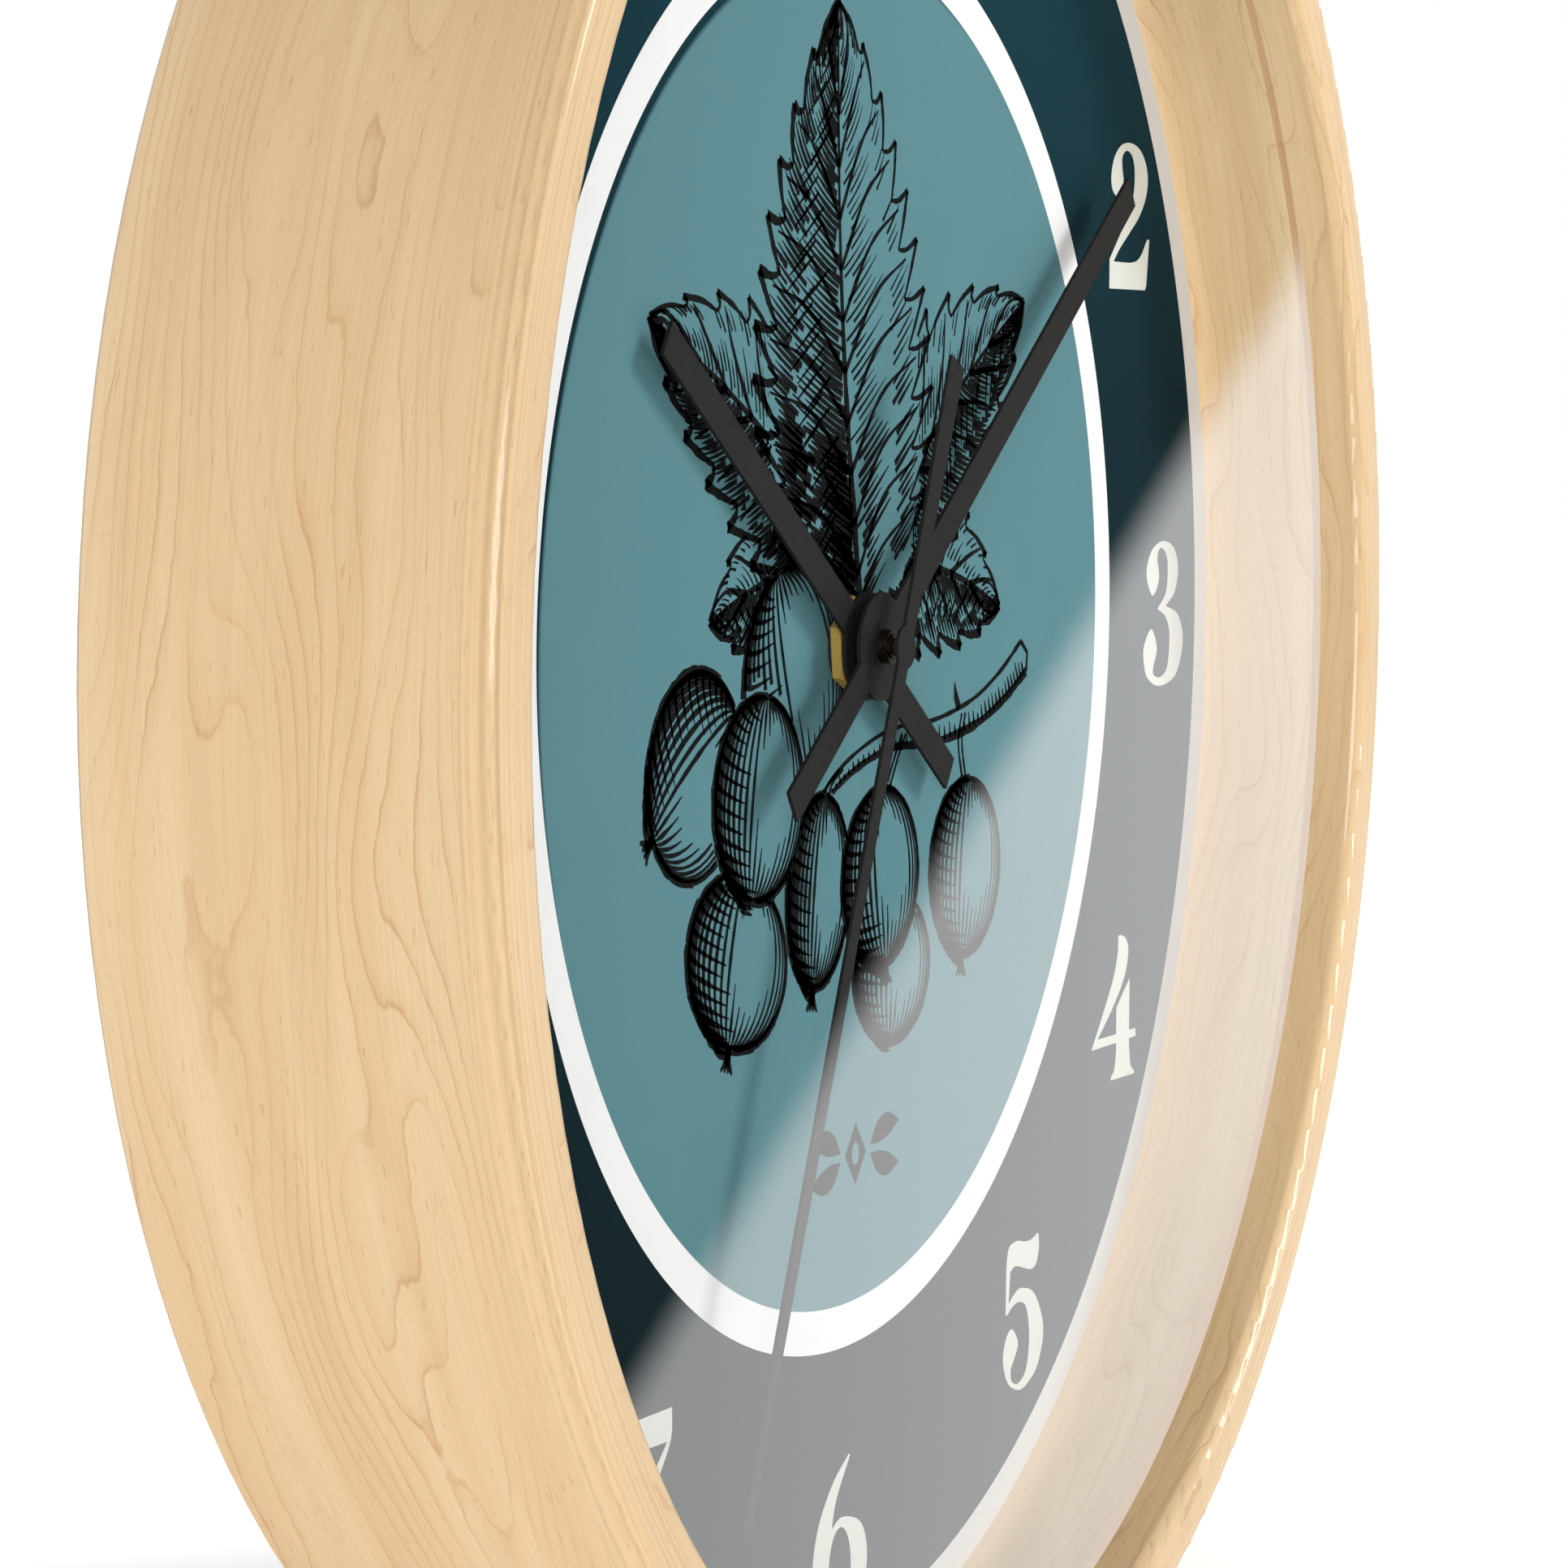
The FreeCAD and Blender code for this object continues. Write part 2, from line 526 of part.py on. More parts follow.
def train_bridge():
    """The rear bearing plate of the fast wheels, standing on three posts."""
    outline = [(-15.0, 5.0), (-11.0, -7.5), (13.0, -7.5), (20.3, 5.0), (20.3, 11.2), (5.0, 18.0),
               (-5.0, 18.0), (-15.0, 10.0)]
    plate = prism(outline, *BRIDGE)
    posts = [rod(POST_RADIUS, BRIDGE[1], MIDDLE_PLATE[0], axis) for axis in BRIDGE_POSTS]
    body = joined([plate] + posts)
    pivots = (CENTRE_AXIS, THIRD_AXIS, STEP_AXIS, ROTOR_AXIS)
    holes = [rod(PIVOT_HOLE_RADIUS, *BRIDGE, axis) for axis in pivots]
    holes += [rod(STAKE_RADIUS + SLIP, BRIDGE[0], MIDDLE_PLATE[0], axis) for axis in BRIDGE_POSTS]
    return body.cut(holes)


def small_screw(axis, seat, tip):
    """A cross-slotted cheese-head screw put in from the back; seat is where its head rests."""
    outer_face = seat - SCREW_HEAD_DEPTH
    screw = joined([rod(SCREW_HEAD_RADIUS, outer_face, seat, axis), rod(STAKE_RADIUS, seat, tip, axis)])
    cuts = []
    for half_x, half_z in (SCREW_CROSS, SCREW_CROSS[::-1]):
        cuts.append(block(axis[0] - half_x, axis[0] + half_x, axis[1] - half_z, axis[1] + half_z,
                          outer_face, outer_face + SCREW_HEAD_DEPTH / 2))
    return screw.cut(cuts)


def bridge_screws():
    tip = MIDDLE_PLATE[1] - RUNNING_GAP
    return Part.makeCompound([small_screw(axis, BRIDGE[0], tip) for axis in BRIDGE_POSTS])


# ---- step motor ----
def core_screw_axes():
    return [(side * CORE_SCREW_X, COIL_HEIGHT) for side in (-1, 1)]


def stator():
    """A U of soft-iron laminations around the rotor, with two detent notches in its well."""
    low = ROTOR_HEIGHT - STATOR_HALF_HEIGHT
    high = ROTOR_HEIGHT + STATOR_HALF_HEIGHT
    plate = block(-STATOR_HALF_WIDTH, STATOR_HALF_WIDTH, low, high, *STATOR)
    ear_top = COIL_HEIGHT + CORE_HALF_HEIGHT
    left_ear = block(-STATOR_HALF_WIDTH, -EAR_INNER, high, ear_top, *STATOR)
    right_ear = block(EAR_INNER, STATOR_HALF_WIDTH, high, ear_top, *STATOR)
    plate = joined([plate, left_ear, right_ear])
    holes = [rod(ROTOR_WELL_RADIUS, *STATOR, ROTOR_AXIS)]
    for side in (-1, 1):
        notch = (side * ROTOR_WELL_RADIUS * math.cos(NOTCH_TURN),
                 ROTOR_HEIGHT + side * ROTOR_WELL_RADIUS * math.sin(NOTCH_TURN))
        holes.append(rod(NOTCH_RADIUS, *STATOR, notch))
    holes += [rod(STAKE_RADIUS + SLIP, *STATOR, axis) for axis in core_screw_axes()]
    return plate.cut(holes)


def coil_core():
    """The straight lamination through the coil, lying on the stator's two ears."""
    bar = block(-STATOR_HALF_WIDTH, STATOR_HALF_WIDTH, COIL_HEIGHT - CORE_HALF_HEIGHT,
                COIL_HEIGHT + CORE_HALF_HEIGHT, *CORE)
    return bar.cut([rod(STAKE_RADIUS + SLIP, *CORE, axis) for axis in core_screw_axes()])


def core_screws():
    tip = STATOR[1] - RUNNING_GAP
    return Part.makeCompound([small_screw(axis, CORE[0], tip) for axis in core_screw_axes()])


def bobbin_tube(margin):
    """The square sleeve around the core, grown by margin on every side."""
    return block(-BOBBIN_END, BOBBIN_END, COIL_HEIGHT - CORE_HALF_HEIGHT - margin,
                 COIL_HEIGHT + CORE_HALF_HEIGHT + margin, CORE[0] - margin, CORE[1] + margin)


def coil_bobbin():
    middle = (CORE[0] + CORE[1]) / 2
    flanges = []
    for left in (-BOBBIN_END, BOBBIN_END - FLANGE):
        flanges.append(block(left, left + FLANGE, COIL_HEIGHT - BOBBIN_HALF, COIL_HEIGHT + BOBBIN_HALF,
                             middle - BOBBIN_HALF, middle + BOBBIN_HALF))
    return joined([bobbin_tube(BOBBIN_WALL)] + flanges).cut(bobbin_tube(SLIP))


def coil_winding():
    """Enamelled copper wire wound on the bobbin."""
    middle = WALL - (CORE[0] + CORE[1]) / 2
    half = BOBBIN_END - FLANGE
    barrel = Part.makeCylinder(COIL_RADIUS, 2 * half, Vector(-half, middle, COIL_HEIGHT), SIDEWAYS)
    return barrel.cut(bobbin_tube(BOBBIN_WALL))


def rotor_magnet():
    return tube(MAGNET_RADIUS, MAGNET_BORE, CORE[0] + END_PLAY, STATOR[1] - END_PLAY, ROTOR_AXIS)


def rotor_pinion():
    """The rotor's plastic hub, pinion and pivots."""
    level = (STEP_LEVEL[0] - RUNNING_GAP, STEP_LEVEL[1] + RUNNING_GAP)
    pinion = toothed_disc(ROTOR_TEETH, FAST_MODULE, FAST_SHIFT, level, ROTOR_AXIS, ROTOR_PHASE)
    return joined([
        pinion,
        rod(MAGNET_BORE, level[1], STATOR[1] - END_PLAY, ROTOR_AXIS),
        rod(PIVOT_RADIUS, BRIDGE[0] + END_PLAY, MIDDLE_PLATE[1] - END_PLAY, ROTOR_AXIS),
    ])


# ---- circuit and battery ----
def circuit_board():
    board = block(-BOARD_HALF_WIDTH, BOARD_HALF_WIDTH, BOARD_BOTTOM, BOARD_TOP, *CIRCUIT_BOARD)
    return board.cut([rod(STAKE_RADIUS + SLIP, *CIRCUIT_BOARD, axis) for axis in BOARD_POSTS])


def controller_chip():
    """The drop of black resin over the timing chip."""
    centre = Vector(CHIP_PLACE[0], WALL - CIRCUIT_BOARD[0], CHIP_PLACE[1])
    ball = Part.makeSphere(CHIP_CURVE, centre + BACKWARD * (CHIP_HEIGHT - CHIP_CURVE))
    return ball.common(rod(CHIP_CURVE, CIRCUIT_BOARD[0] - CHIP_HEIGHT, CIRCUIT_BOARD[0], CHIP_PLACE))


def quartz_crystal():
    """The crystal's can, lying on the board with its two leads bent down into it."""
    drop = CRYSTAL_RADIUS + SLIP
    start = Vector(CRYSTAL_PLACE[0], WALL - CIRCUIT_BOARD[0] + drop, CRYSTAL_PLACE[1])
    parts = [Part.makeCylinder(CRYSTAL_RADIUS, CRYSTAL_LENGTH, start, SIDEWAYS)]
    for offset in (-LEAD_OFFSET, LEAD_OFFSET):
        lead_start = start + Vector(-LEAD_REACH, 0, offset)
        parts.append(Part.makeCylinder(LEAD_RADIUS, LEAD_REACH + LEAD_RADIUS, lead_start, SIDEWAYS))
        parts.append(Part.makeCylinder(LEAD_RADIUS, drop, lead_start, -BACKWARD))
    return joined(parts)


def strip(start, end, low, high):
    """A straight run of sprung metal strip between two (x, z) points, with rounded ends."""
    half = STRIP_THICKNESS / 2
    direction = Vector(end[0] - start[0], 0, end[1] - start[1])
    side = Vector(direction.z, 0, -direction.x).normalize() * half
    corners = [(start[0] + side.x, start[1] + side.z), (end[0] + side.x, end[1] + side.z),
               (end[0] - side.x, end[1] - side.z), (start[0] - side.x, start[1] - side.z)]
    return joined([prism(corners, low, high), rod(half, low, high, start), rod(half, low, high, end)])


def battery_contact(side):
    """A sprung strip from the board down the case's side wall to one end of the battery."""
    wall_x = side * (CHAMBER_HALF - STRIP_THICKNESS)
    touch_x = side * CONTACT_TOUCH
    path = [
        (wall_x, CONTACT_TOP),
        (wall_x, CONTACT_KNEE),
        (touch_x, BATTERY_Z + CONTACT_TOUCH_HALF),
        (touch_x, BATTERY_Z - CONTACT_TOUCH_HALF),
        (wall_x, CONTACT_FOOT),
    ]
    runs = [strip(start, end, CONTACT_LOW, CONTACT_HIGH) for start, end in zip(path, path[1:])]
    left, right = sorted((wall_x, side * CONTACT_TAB_X))
    tab = block(left, right, CONTACT_TAB_BOTTOM, CONTACT_TOP, CONTACT_LOW - STRIP_THICKNESS, CONTACT_LOW)
    return joined(runs + [tab])


def positive_contact():
    return battery_contact(1)


def negative_contact():
    return battery_contact(-1)


def battery_cell():
    """An AA cell, its raised end to the right."""
    left = -BATTERY_LENGTH / 2
    base = Vector(left, WALL - BATTERY_HEIGHT, BATTERY_Z)
    can = Part.makeCylinder(BATTERY_RADIUS, BATTERY_LENGTH - BATTERY_NUB_LENGTH, base, SIDEWAYS)
    can = can.makeFillet(BATTERY_ROUND, can.Edges)
    nub = Part.makeCylinder(BATTERY_NUB_RADIUS, BATTERY_LENGTH - BATTERY_NUB_LENGTH,
                            base + SIDEWAYS * BATTERY_NUB_LENGTH, SIDEWAYS)
    return joined([can, nub])


# ---- fast wheels ----
def second_arbor():
    return joined([
        rod(SECOND_ARBOR_RADIUS, BRIDGE[1] + END_PLAY, SECOND_HAND[0] - RUNNING_GAP),
        rod(PIVOT_RADIUS, BRIDGE[0] + END_PLAY, BRIDGE[1] + END_PLAY),
    ])


def seconds_wheel():
    """The wheel that turns once a minute, and its pinion."""
    pinion_level = (SECOND_LEVEL[1], THIRD_LEVEL[1] + RUNNING_GAP)
    wheel = toothed_disc(SECOND_TEETH, FAST_MODULE, -FAST_SHIFT, SECOND_LEVEL, CENTRE_AXIS, 0.0)
    pinion = toothed_disc(SECOND_PINION_TEETH, THIRD_MODULE, SLOW_SHIFT, pinion_level, CENTRE_AXIS, 0.0)
    hub = rod(SECONDS_HUB_RADIUS, BRIDGE[1] + END_PLAY, SECOND_LEVEL[0])
    bore = rod(SECOND_ARBOR_RADIUS + PRESS_GAP, BRIDGE[1], MIDDLE_PLATE[0])
    return joined([wheel, pinion, hub]).cut(bore)


def intermediate_wheel():
    """The wheel between the rotor and the seconds wheel."""
    pinion_level = (STEP_LEVEL[1], SECOND_LEVEL[1] + RUNNING_GAP)
    return joined([
        toothed_disc(STEP_TEETH, FAST_MODULE, -FAST_SHIFT, STEP_LEVEL, STEP_AXIS, 0.0),
        toothed_disc(STEP_PINION_TEETH, FAST_MODULE, FAST_SHIFT, pinion_level, STEP_AXIS, STEP_PINION_PHASE),
        rod(ARBOR_RADIUS, BRIDGE[1] + RUNNING_GAP, MIDDLE_PLATE[0] - RUNNING_GAP, STEP_AXIS),
        rod(PIVOT_RADIUS, BRIDGE[0] + END_PLAY, MIDDLE_PLATE[1] - END_PLAY, STEP_AXIS),
    ])


def third_wheel():
    """The reduction from the seconds pinion to the centre wheel."""
    pinion = toothed_disc(THIRD_PINION_TEETH, CENTRE_MODULE, SLOW_SHIFT, CENTRE_LEVEL, THIRD_AXIS, 0.0)
    return joined([
        toothed_disc(THIRD_TEETH, THIRD_MODULE, -SLOW_SHIFT, THIRD_LEVEL, THIRD_AXIS, THIRD_PHASE),
        pinion,
        rod(ARBOR_RADIUS, BRIDGE[1] + RUNNING_GAP, THIRD_BOSS_FOOT - RUNNING_GAP, THIRD_AXIS),
        rod(PIVOT_RADIUS, BRIDGE[0] + END_PLAY, CASE_INNER_FRONT - END_PLAY, THIRD_AXIS),
    ])


# ---- slow wheels ----
def centre_wheel():
    """The hourly wheel; it grips the minute tube by friction, so that the hands can be set."""
    wheel = toothed_disc(CENTRE_TEETH, CENTRE_MODULE, -SLOW_SHIFT, CENTRE_LEVEL, CENTRE_AXIS, CENTRE_PHASE)
    return wheel.cut(rod(MINUTE_TUBE_RADIUS + PRESS_GAP, *CENTRE_LEVEL))


def cannon_pinion():
    """The minute tube with its pinion, stepped in front to seat the minute hand."""
    pinion = toothed_disc(CANNON_TEETH, MINUTE_MODULE, 0.0, MINUTE_LEVEL, CENTRE_AXIS, 0.0)
    body = joined([
        pinion,
        rod(MINUTE_TUBE_RADIUS, MIDDLE_PLATE[0] + RUNNING_GAP, MINUTE_HAND[0]),
        rod(MINUTE_SEAT_RADIUS, MINUTE_HAND[0], MINUTE_NUT_TOP + END_PLAY),
    ])
    return body.cut(rod(MINUTE_TUBE_BORE, MIDDLE_PLATE[0], SECOND_HAND[0]))


def minute_wheel():
    """The motion-work wheel that steps the minute tube down to the hour wheel."""
    pinion = toothed_disc(MINUTE_PINION_TEETH, HOUR_MODULE, FAST_SHIFT, HOUR_LEVEL, MINUTE_AXIS, 0.0)
    wheel = toothed_disc(MINUTE_TEETH, MINUTE_MODULE, 0.0, MINUTE_LEVEL, MINUTE_AXIS, MINUTE_PHASE)
    collar = rod(MINUTE_HUB_RADIUS, MINUTE_LEVEL[1], HOUR_LEVEL[0], MINUTE_AXIS)
    bore = rod(MINUTE_STUD_RADIUS + SLIP, MINUTE_LEVEL[0], HOUR_LEVEL[1], MINUTE_AXIS)
    return joined([wheel, collar, pinion]).cut(bore)


def hour_wheel():
    """The twelve-hour wheel and the tube that carries the hour hand through the nose."""
    wheel = toothed_disc(HOUR_TEETH, HOUR_MODULE, -FAST_SHIFT, HOUR_LEVEL, CENTRE_AXIS, HOUR_PHASE)
    body = joined([wheel, rod(HOUR_TUBE_RADIUS, HOUR_LEVEL[1], HOUR_COLLAR_TOP - RUNNING_GAP)])
    return body.cut(rod(HOUR_TUBE_BORE, HOUR_LEVEL[0], HOUR_COLLAR_TOP))


def setting_knob():
    """The thumb wheel on the back, its shaft and the pinion that drives the minute wheel."""
    head_front = CASE_BACK - RUNNING_GAP
    head_back = head_front - KNOB_THICKNESS
    groove_circle = KNOB_RADIUS + RUNNING_GAP
    grooves = []
    for number in range(KNOB_GROOVES):
        angle = number * 2 * math.pi / KNOB_GROOVES
        groove = (KNOB_AXIS[0] + groove_circle * math.cos(angle),
                  KNOB_AXIS[1] + groove_circle * math.sin(angle))
        grooves.append(rod(KNOB_GROOVE_RADIUS, head_back, head_front, groove))
    shaft_front = CASE_INNER_FRONT - RUNNING_GAP
    return joined([
        rod(KNOB_RADIUS, head_back, head_front, KNOB_AXIS).cut(grooves),
        rod(KNOB_SHAFT_RADIUS, head_front, shaft_front, KNOB_AXIS),
        rod(KNOB_PIVOT_RADIUS, shaft_front, shaft_front + KNOB_PIVOT_DEPTH, KNOB_AXIS),
        toothed_disc(KNOB_TEETH, MINUTE_MODULE, 0.0, MINUTE_LEVEL, KNOB_AXIS, KNOB_PHASE),
    ])


# ---- hands ----
def turned_to(shape, clockwise_degrees):
    """A shape drawn pointing at twelve, turned clockwise as seen from the front."""
    return shape.rotated(Vector(0, 0, 0), BACKWARD, clockwise_degrees)


def bar_hand(reach, tail, level, collar_radius, collar, bore, angle):
    """A straight flat hand with a round boss and a collar that grips its tube."""
    half = HAND_WIDTH / 2
    body = joined([
        block(-half, half, -tail, reach, *level),
        rod(BOSS_RADIUS, *level),
        rod(collar_radius, *collar),
    ])
    lowest = min(level[0], collar[0])
    highest = max(level[1], collar[1])
    return turned_to(body.cut(rod(bore, lowest, highest)), angle)


def hour_hand():
    return bar_hand(HOUR_REACH, HOUR_TAIL, HOUR_HAND, HOUR_COLLAR_RADIUS, (HOUR_HAND[1], HOUR_COLLAR_TOP),
                    HOUR_TUBE_RADIUS + PRESS_GAP, HOUR_ANGLE)


def minute_hand():
    return bar_hand(MINUTE_REACH, MINUTE_TAIL, MINUTE_HAND, MINUTE_COLLAR_RADIUS,
                    (MINUTE_HAND[0], MINUTE_NUT_SEAT), MINUTE_SEAT_RADIUS + PRESS_GAP, MINUTE_ANGLE)


def minute_hand_nut():
    """The round brass nut that holds the minute hand on its seat."""
    nut = tube(MINUTE_NUT_RADIUS, MINUTE_SEAT_RADIUS + PRESS_GAP, MINUTE_NUT_SEAT, MINUTE_NUT_TOP)
    slot = block(-MINUTE_COLLAR_RADIUS, MINUTE_COLLAR_RADIUS, -MINUTE_NUT_SLOT / 2, MINUTE_NUT_SLOT / 2,
                 MINUTE_NUT_TOP - MINUTE_NUT_SLOT_DEPTH, MINUTE_NUT_TOP)
    return nut.cut(slot)


def second_hand():
    """A tapered hand, widest at its tail, with a round cap and a collar on the arbor."""
    outline = [
        (-SECOND_TAIL_WIDTH / 2, -SECOND_TAIL),
        (SECOND_TAIL_WIDTH / 2, -SECOND_TAIL),
        (SECOND_MIDDLE_WIDTH / 2, 0.0),
        (SECOND_TIP_WIDTH / 2, SECOND_REACH),
        (-SECOND_TIP_WIDTH / 2, SECOND_REACH),
        (-SECOND_MIDDLE_WIDTH / 2, 0.0),
    ]
    body = joined([
        prism(outline, *SECOND_HAND),
        rod(SECOND_BOSS_RADIUS, *SECOND_HAND),
        rod(SECOND_COLLAR_RADIUS, SECOND_COLLAR_BOTTOM, SECOND_HAND[0]),
    ])
    bore = rod(SECOND_ARBOR_RADIUS + PRESS_GAP, SECOND_COLLAR_BOTTOM, SECOND_HAND[0])
    return turned_to(body.cut(bore), SECOND_ANGLE)


PIECES = [
    frame_ring, acrylic_lens, spacer_hoop, dial_print, dial_board, rear_hoop,
    hanger_block, keyhole_plate, keyhole_screws,
    movement_front_case, movement_back_case, rubber_gasket, fibre_washer, hex_nut,
    middle_plate, train_bridge, bridge_screws,
    stator, coil_core, core_screws, coil_bobbin, coil_winding, rotor_magnet, rotor_pinion,
    circuit_board, controller_chip, quartz_crystal,
    positive_contact, negative_contact, battery_cell,
    second_arbor, seconds_wheel, intermediate_wheel, third_wheel,
    centre_wheel, cannon_pinion, minute_wheel, hour_wheel, setting_knob,
    hour_hand, minute_hand, minute_hand_nut, second_hand,
]

os.makedirs("parts", exist_ok=True)
for piece in PIECES:
    piece().exportStep("parts/" + piece.__name__ + ".step")
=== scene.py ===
import json
import math
import random

import bpy
from mathutils import Matrix, Vector


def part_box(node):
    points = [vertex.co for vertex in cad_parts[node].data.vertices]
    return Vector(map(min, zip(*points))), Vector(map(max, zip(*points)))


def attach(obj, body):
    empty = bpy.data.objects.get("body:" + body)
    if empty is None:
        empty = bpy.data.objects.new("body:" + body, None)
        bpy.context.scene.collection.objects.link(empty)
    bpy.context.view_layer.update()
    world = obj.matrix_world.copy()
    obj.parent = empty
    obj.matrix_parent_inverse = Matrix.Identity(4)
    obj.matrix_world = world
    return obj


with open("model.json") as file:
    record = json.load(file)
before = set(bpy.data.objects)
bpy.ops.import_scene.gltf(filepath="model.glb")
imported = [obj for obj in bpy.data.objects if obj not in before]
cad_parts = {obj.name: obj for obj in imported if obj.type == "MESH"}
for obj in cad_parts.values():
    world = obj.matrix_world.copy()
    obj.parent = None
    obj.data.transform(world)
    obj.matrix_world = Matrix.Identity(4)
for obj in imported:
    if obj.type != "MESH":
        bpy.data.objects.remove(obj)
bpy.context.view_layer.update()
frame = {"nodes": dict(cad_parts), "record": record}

# The looks of a round wall clock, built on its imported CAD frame: procedural materials for every
# CAD piece, and the printed dial art as thin flat pieces of its own. Blender's unit is the metre;
# the art is drawn in millimetres, as (x, z) points seen from the front, centred on the hands' axis.

MM = 0.001
CASE = "clock_case"

ring_low, ring_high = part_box("frame_ring")
DIAL_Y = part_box("dial_print")[0].y      # the printed face of the dial
HOOP_THICKNESS = 2.65                   # of the spacer hoop between lens and dial
OPENING_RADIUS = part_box("spacer_hoop")[1].x / MM - HOOP_THICKNESS
RING_RADIUS = ring_high.x / MM
GROWTH_SPACING = 2.6                    # between the wood's growth lines, before they drift
LIP_DEPTH = 6.0                         # how far back from its front edge the ring shows its plies

# ---- the dial's layout, in millimetres ----
FIELD_RADIUS = 114.8                    # the dark field, inside a plain white border
HOLE_RADIUS = 5.0
WHITE_RING_CENTRE = (0.8, 1.65)
WHITE_RING_RADII = (77.4, 82.4)
DISC_CENTRE = (2.35, 0.0)               # the teal disc sits low and right in the white ring
DISC_RADIUS = 78.65
DISC_FADE = 0.7
NUMERAL_CIRCLE = 103.0
NUMERAL_HEIGHT = 18.7
NUMERAL_SHIFT = {4: (-2.9, 1.1), 5: (4.4, 3.8)}     # two numerals stand a little off their circle

# How far each printed layer stands proud of the sheet.
FIELD_LAYER = 0.02
DISC_LAYER = 0.03
RING_LAYER = 0.04
INK_LAYER = 0.045
NUMERAL_LAYER = 0.04

# The painted softbox reflection on the lens: the normal of the plane through its edge, how wide the edge
# fades to either side (in radians), how bright it is, and how much more than one face mirrors it.
SOFTBOX_EDGE = (0.2946, 0.8147, -0.4995)
SOFTBOX_FADE = 0.005
SOFTBOX_BRIGHTNESS = 1.15
MIRROR_SHARE = 2.0


# ---- colours and node trees ----
def paint(red, green, blue):
    """The linear colour of a screen colour given as three values from 0 to 255."""
    linear = []
    for value in (red / 255, green / 255, blue / 255):
        linear.append(value / 12.92 if value <= 0.04045 else ((value + 0.055) / 1.055) ** 2.4)
    return (*linear, 1.0)


class Look:
    """A material, with short calls for the nodes that its pattern is made of."""

    def __init__(self, name):
        self.material = bpy.data.materials.new(name)
        self.material.use_nodes = True
        self.tree = self.material.node_tree
        self.shader = self.tree.nodes["Principled BSDF"]
        self.output = self.tree.nodes["Material Output"]

    def node(self, kind, **settings):
        made = self.tree.nodes.new("ShaderNode" + kind)
        for key, value in settings.items():
            setattr(made, key, value)
        return made

    def plug(self, socket, value):
        """Puts a number, a colour or another node's output into an input socket."""
        if isinstance(value, bpy.types.NodeSocket):
            self.tree.links.new(value, socket)
        else:
            socket.default_value = value

    def set(self, **inputs):
        """Sets the shader's inputs, named with underscores for spaces."""
        for key, value in inputs.items():
            self.plug(self.shader.inputs[key.replace("_", " ")], value)

    def sum(self, operation, *values):
        made = self.node("Math", operation=operation)
        for socket, value in zip(made.inputs, values):
            self.plug(socket, value)
        return made.outputs[0]

    def place(self):
        """The point being shaded, in millimetres, as x, y and z outputs."""
        point = self.node("TexCoord").outputs["Object"]
        scaled = self.node("VectorMath", operation="SCALE")
        self.plug(scaled.inputs[0], point)
        scaled.inputs["Scale"].default_value = 1 / MM
        split = self.node("SeparateXYZ")
        self.plug(split.inputs[0], scaled.outputs[0])
        return split.outputs[0], split.outputs[1], split.outputs[2]

    def from_axis(self, first, second):
        """How far a point is from the axis that two of its coordinates are measured from."""
        squares = self.sum("ADD", self.sum("MULTIPLY", first, first), self.sum("MULTIPLY", second, second))
        return self.sum("SQRT", squares)

    def vector(self, x, y, z):
        made = self.node("CombineXYZ")
        for socket, value in zip(made.inputs, (x, y, z)):
            self.plug(socket, value)
        return made.outputs[0]

    def stretched(self, point, lengths):
        """A pattern vector whose features are about as long as lengths, in millimetres."""
        return self.vector(*[self.sum("DIVIDE", part, length) for part, length in zip(point, lengths)])

    def noise(self, vector, detail=2.0, roughness=0.5, distortion=0.0):
        made = self.node("TexNoise")
        self.plug(made.inputs["Vector"], vector)
        made.inputs["Scale"].default_value = 1.0
        made.inputs["Detail"].default_value = detail
        made.inputs["Roughness"].default_value = roughness
        made.inputs["Distortion"].default_value = distortion
        return made.outputs["Fac"]

    def ramp(self, factor, stops):
        """A colour ramp; each stop is (place, colour), a colour being four numbers or one grey."""
        made = self.node("ValToRGB")
        elements = made.color_ramp.elements
        while len(elements) < len(stops):
            elements.new(0.5)
        for element, (place, colour) in zip(elements, stops):
            element.position = place
            element.color = colour if isinstance(colour, tuple) else (colour, colour, colour, 1.0)
        self.plug(made.inputs[0], factor)
        return made.outputs[0]

    def mix(self, factor, first, second, mode="MIX"):
        made = self.node("Mix", data_type="RGBA", blend_type=mode)
        self.plug(made.inputs["Factor"], factor)
        self.plug(made.inputs["A"], first)
        self.plug(made.inputs["B"], second)
        return made.outputs["Result"]

    def blend(self, share, first, second):
        """Two shaders mixed; share is how much of the second shows."""
        made = self.node("MixShader")
        self.plug(made.inputs[0], share)
        self.plug(made.inputs[1], first.outputs[0])
        self.plug(made.inputs[2], second.outputs[0])
        return made

    def bump(self, height, depth_mm, strength=1.0):
        made = self.node("Bump")
        made.inputs["Distance"].default_value = depth_mm * MM
        made.inputs["Strength"].default_value = strength
        self.plug(made.inputs["Height"], height)
        self.set(Normal=made.outputs[0])


# ---- wood ----
def grain_round_ring(look):
    """Distance along the bent fibres, across them, and through the ring's thickness."""
    x, y, z = look.place()
    angle = look.sum("ARCTAN2", x, z)
    radius = look.from_axis(x, z)
    return look.sum("MULTIPLY", angle, RING_RADIUS), y, radius


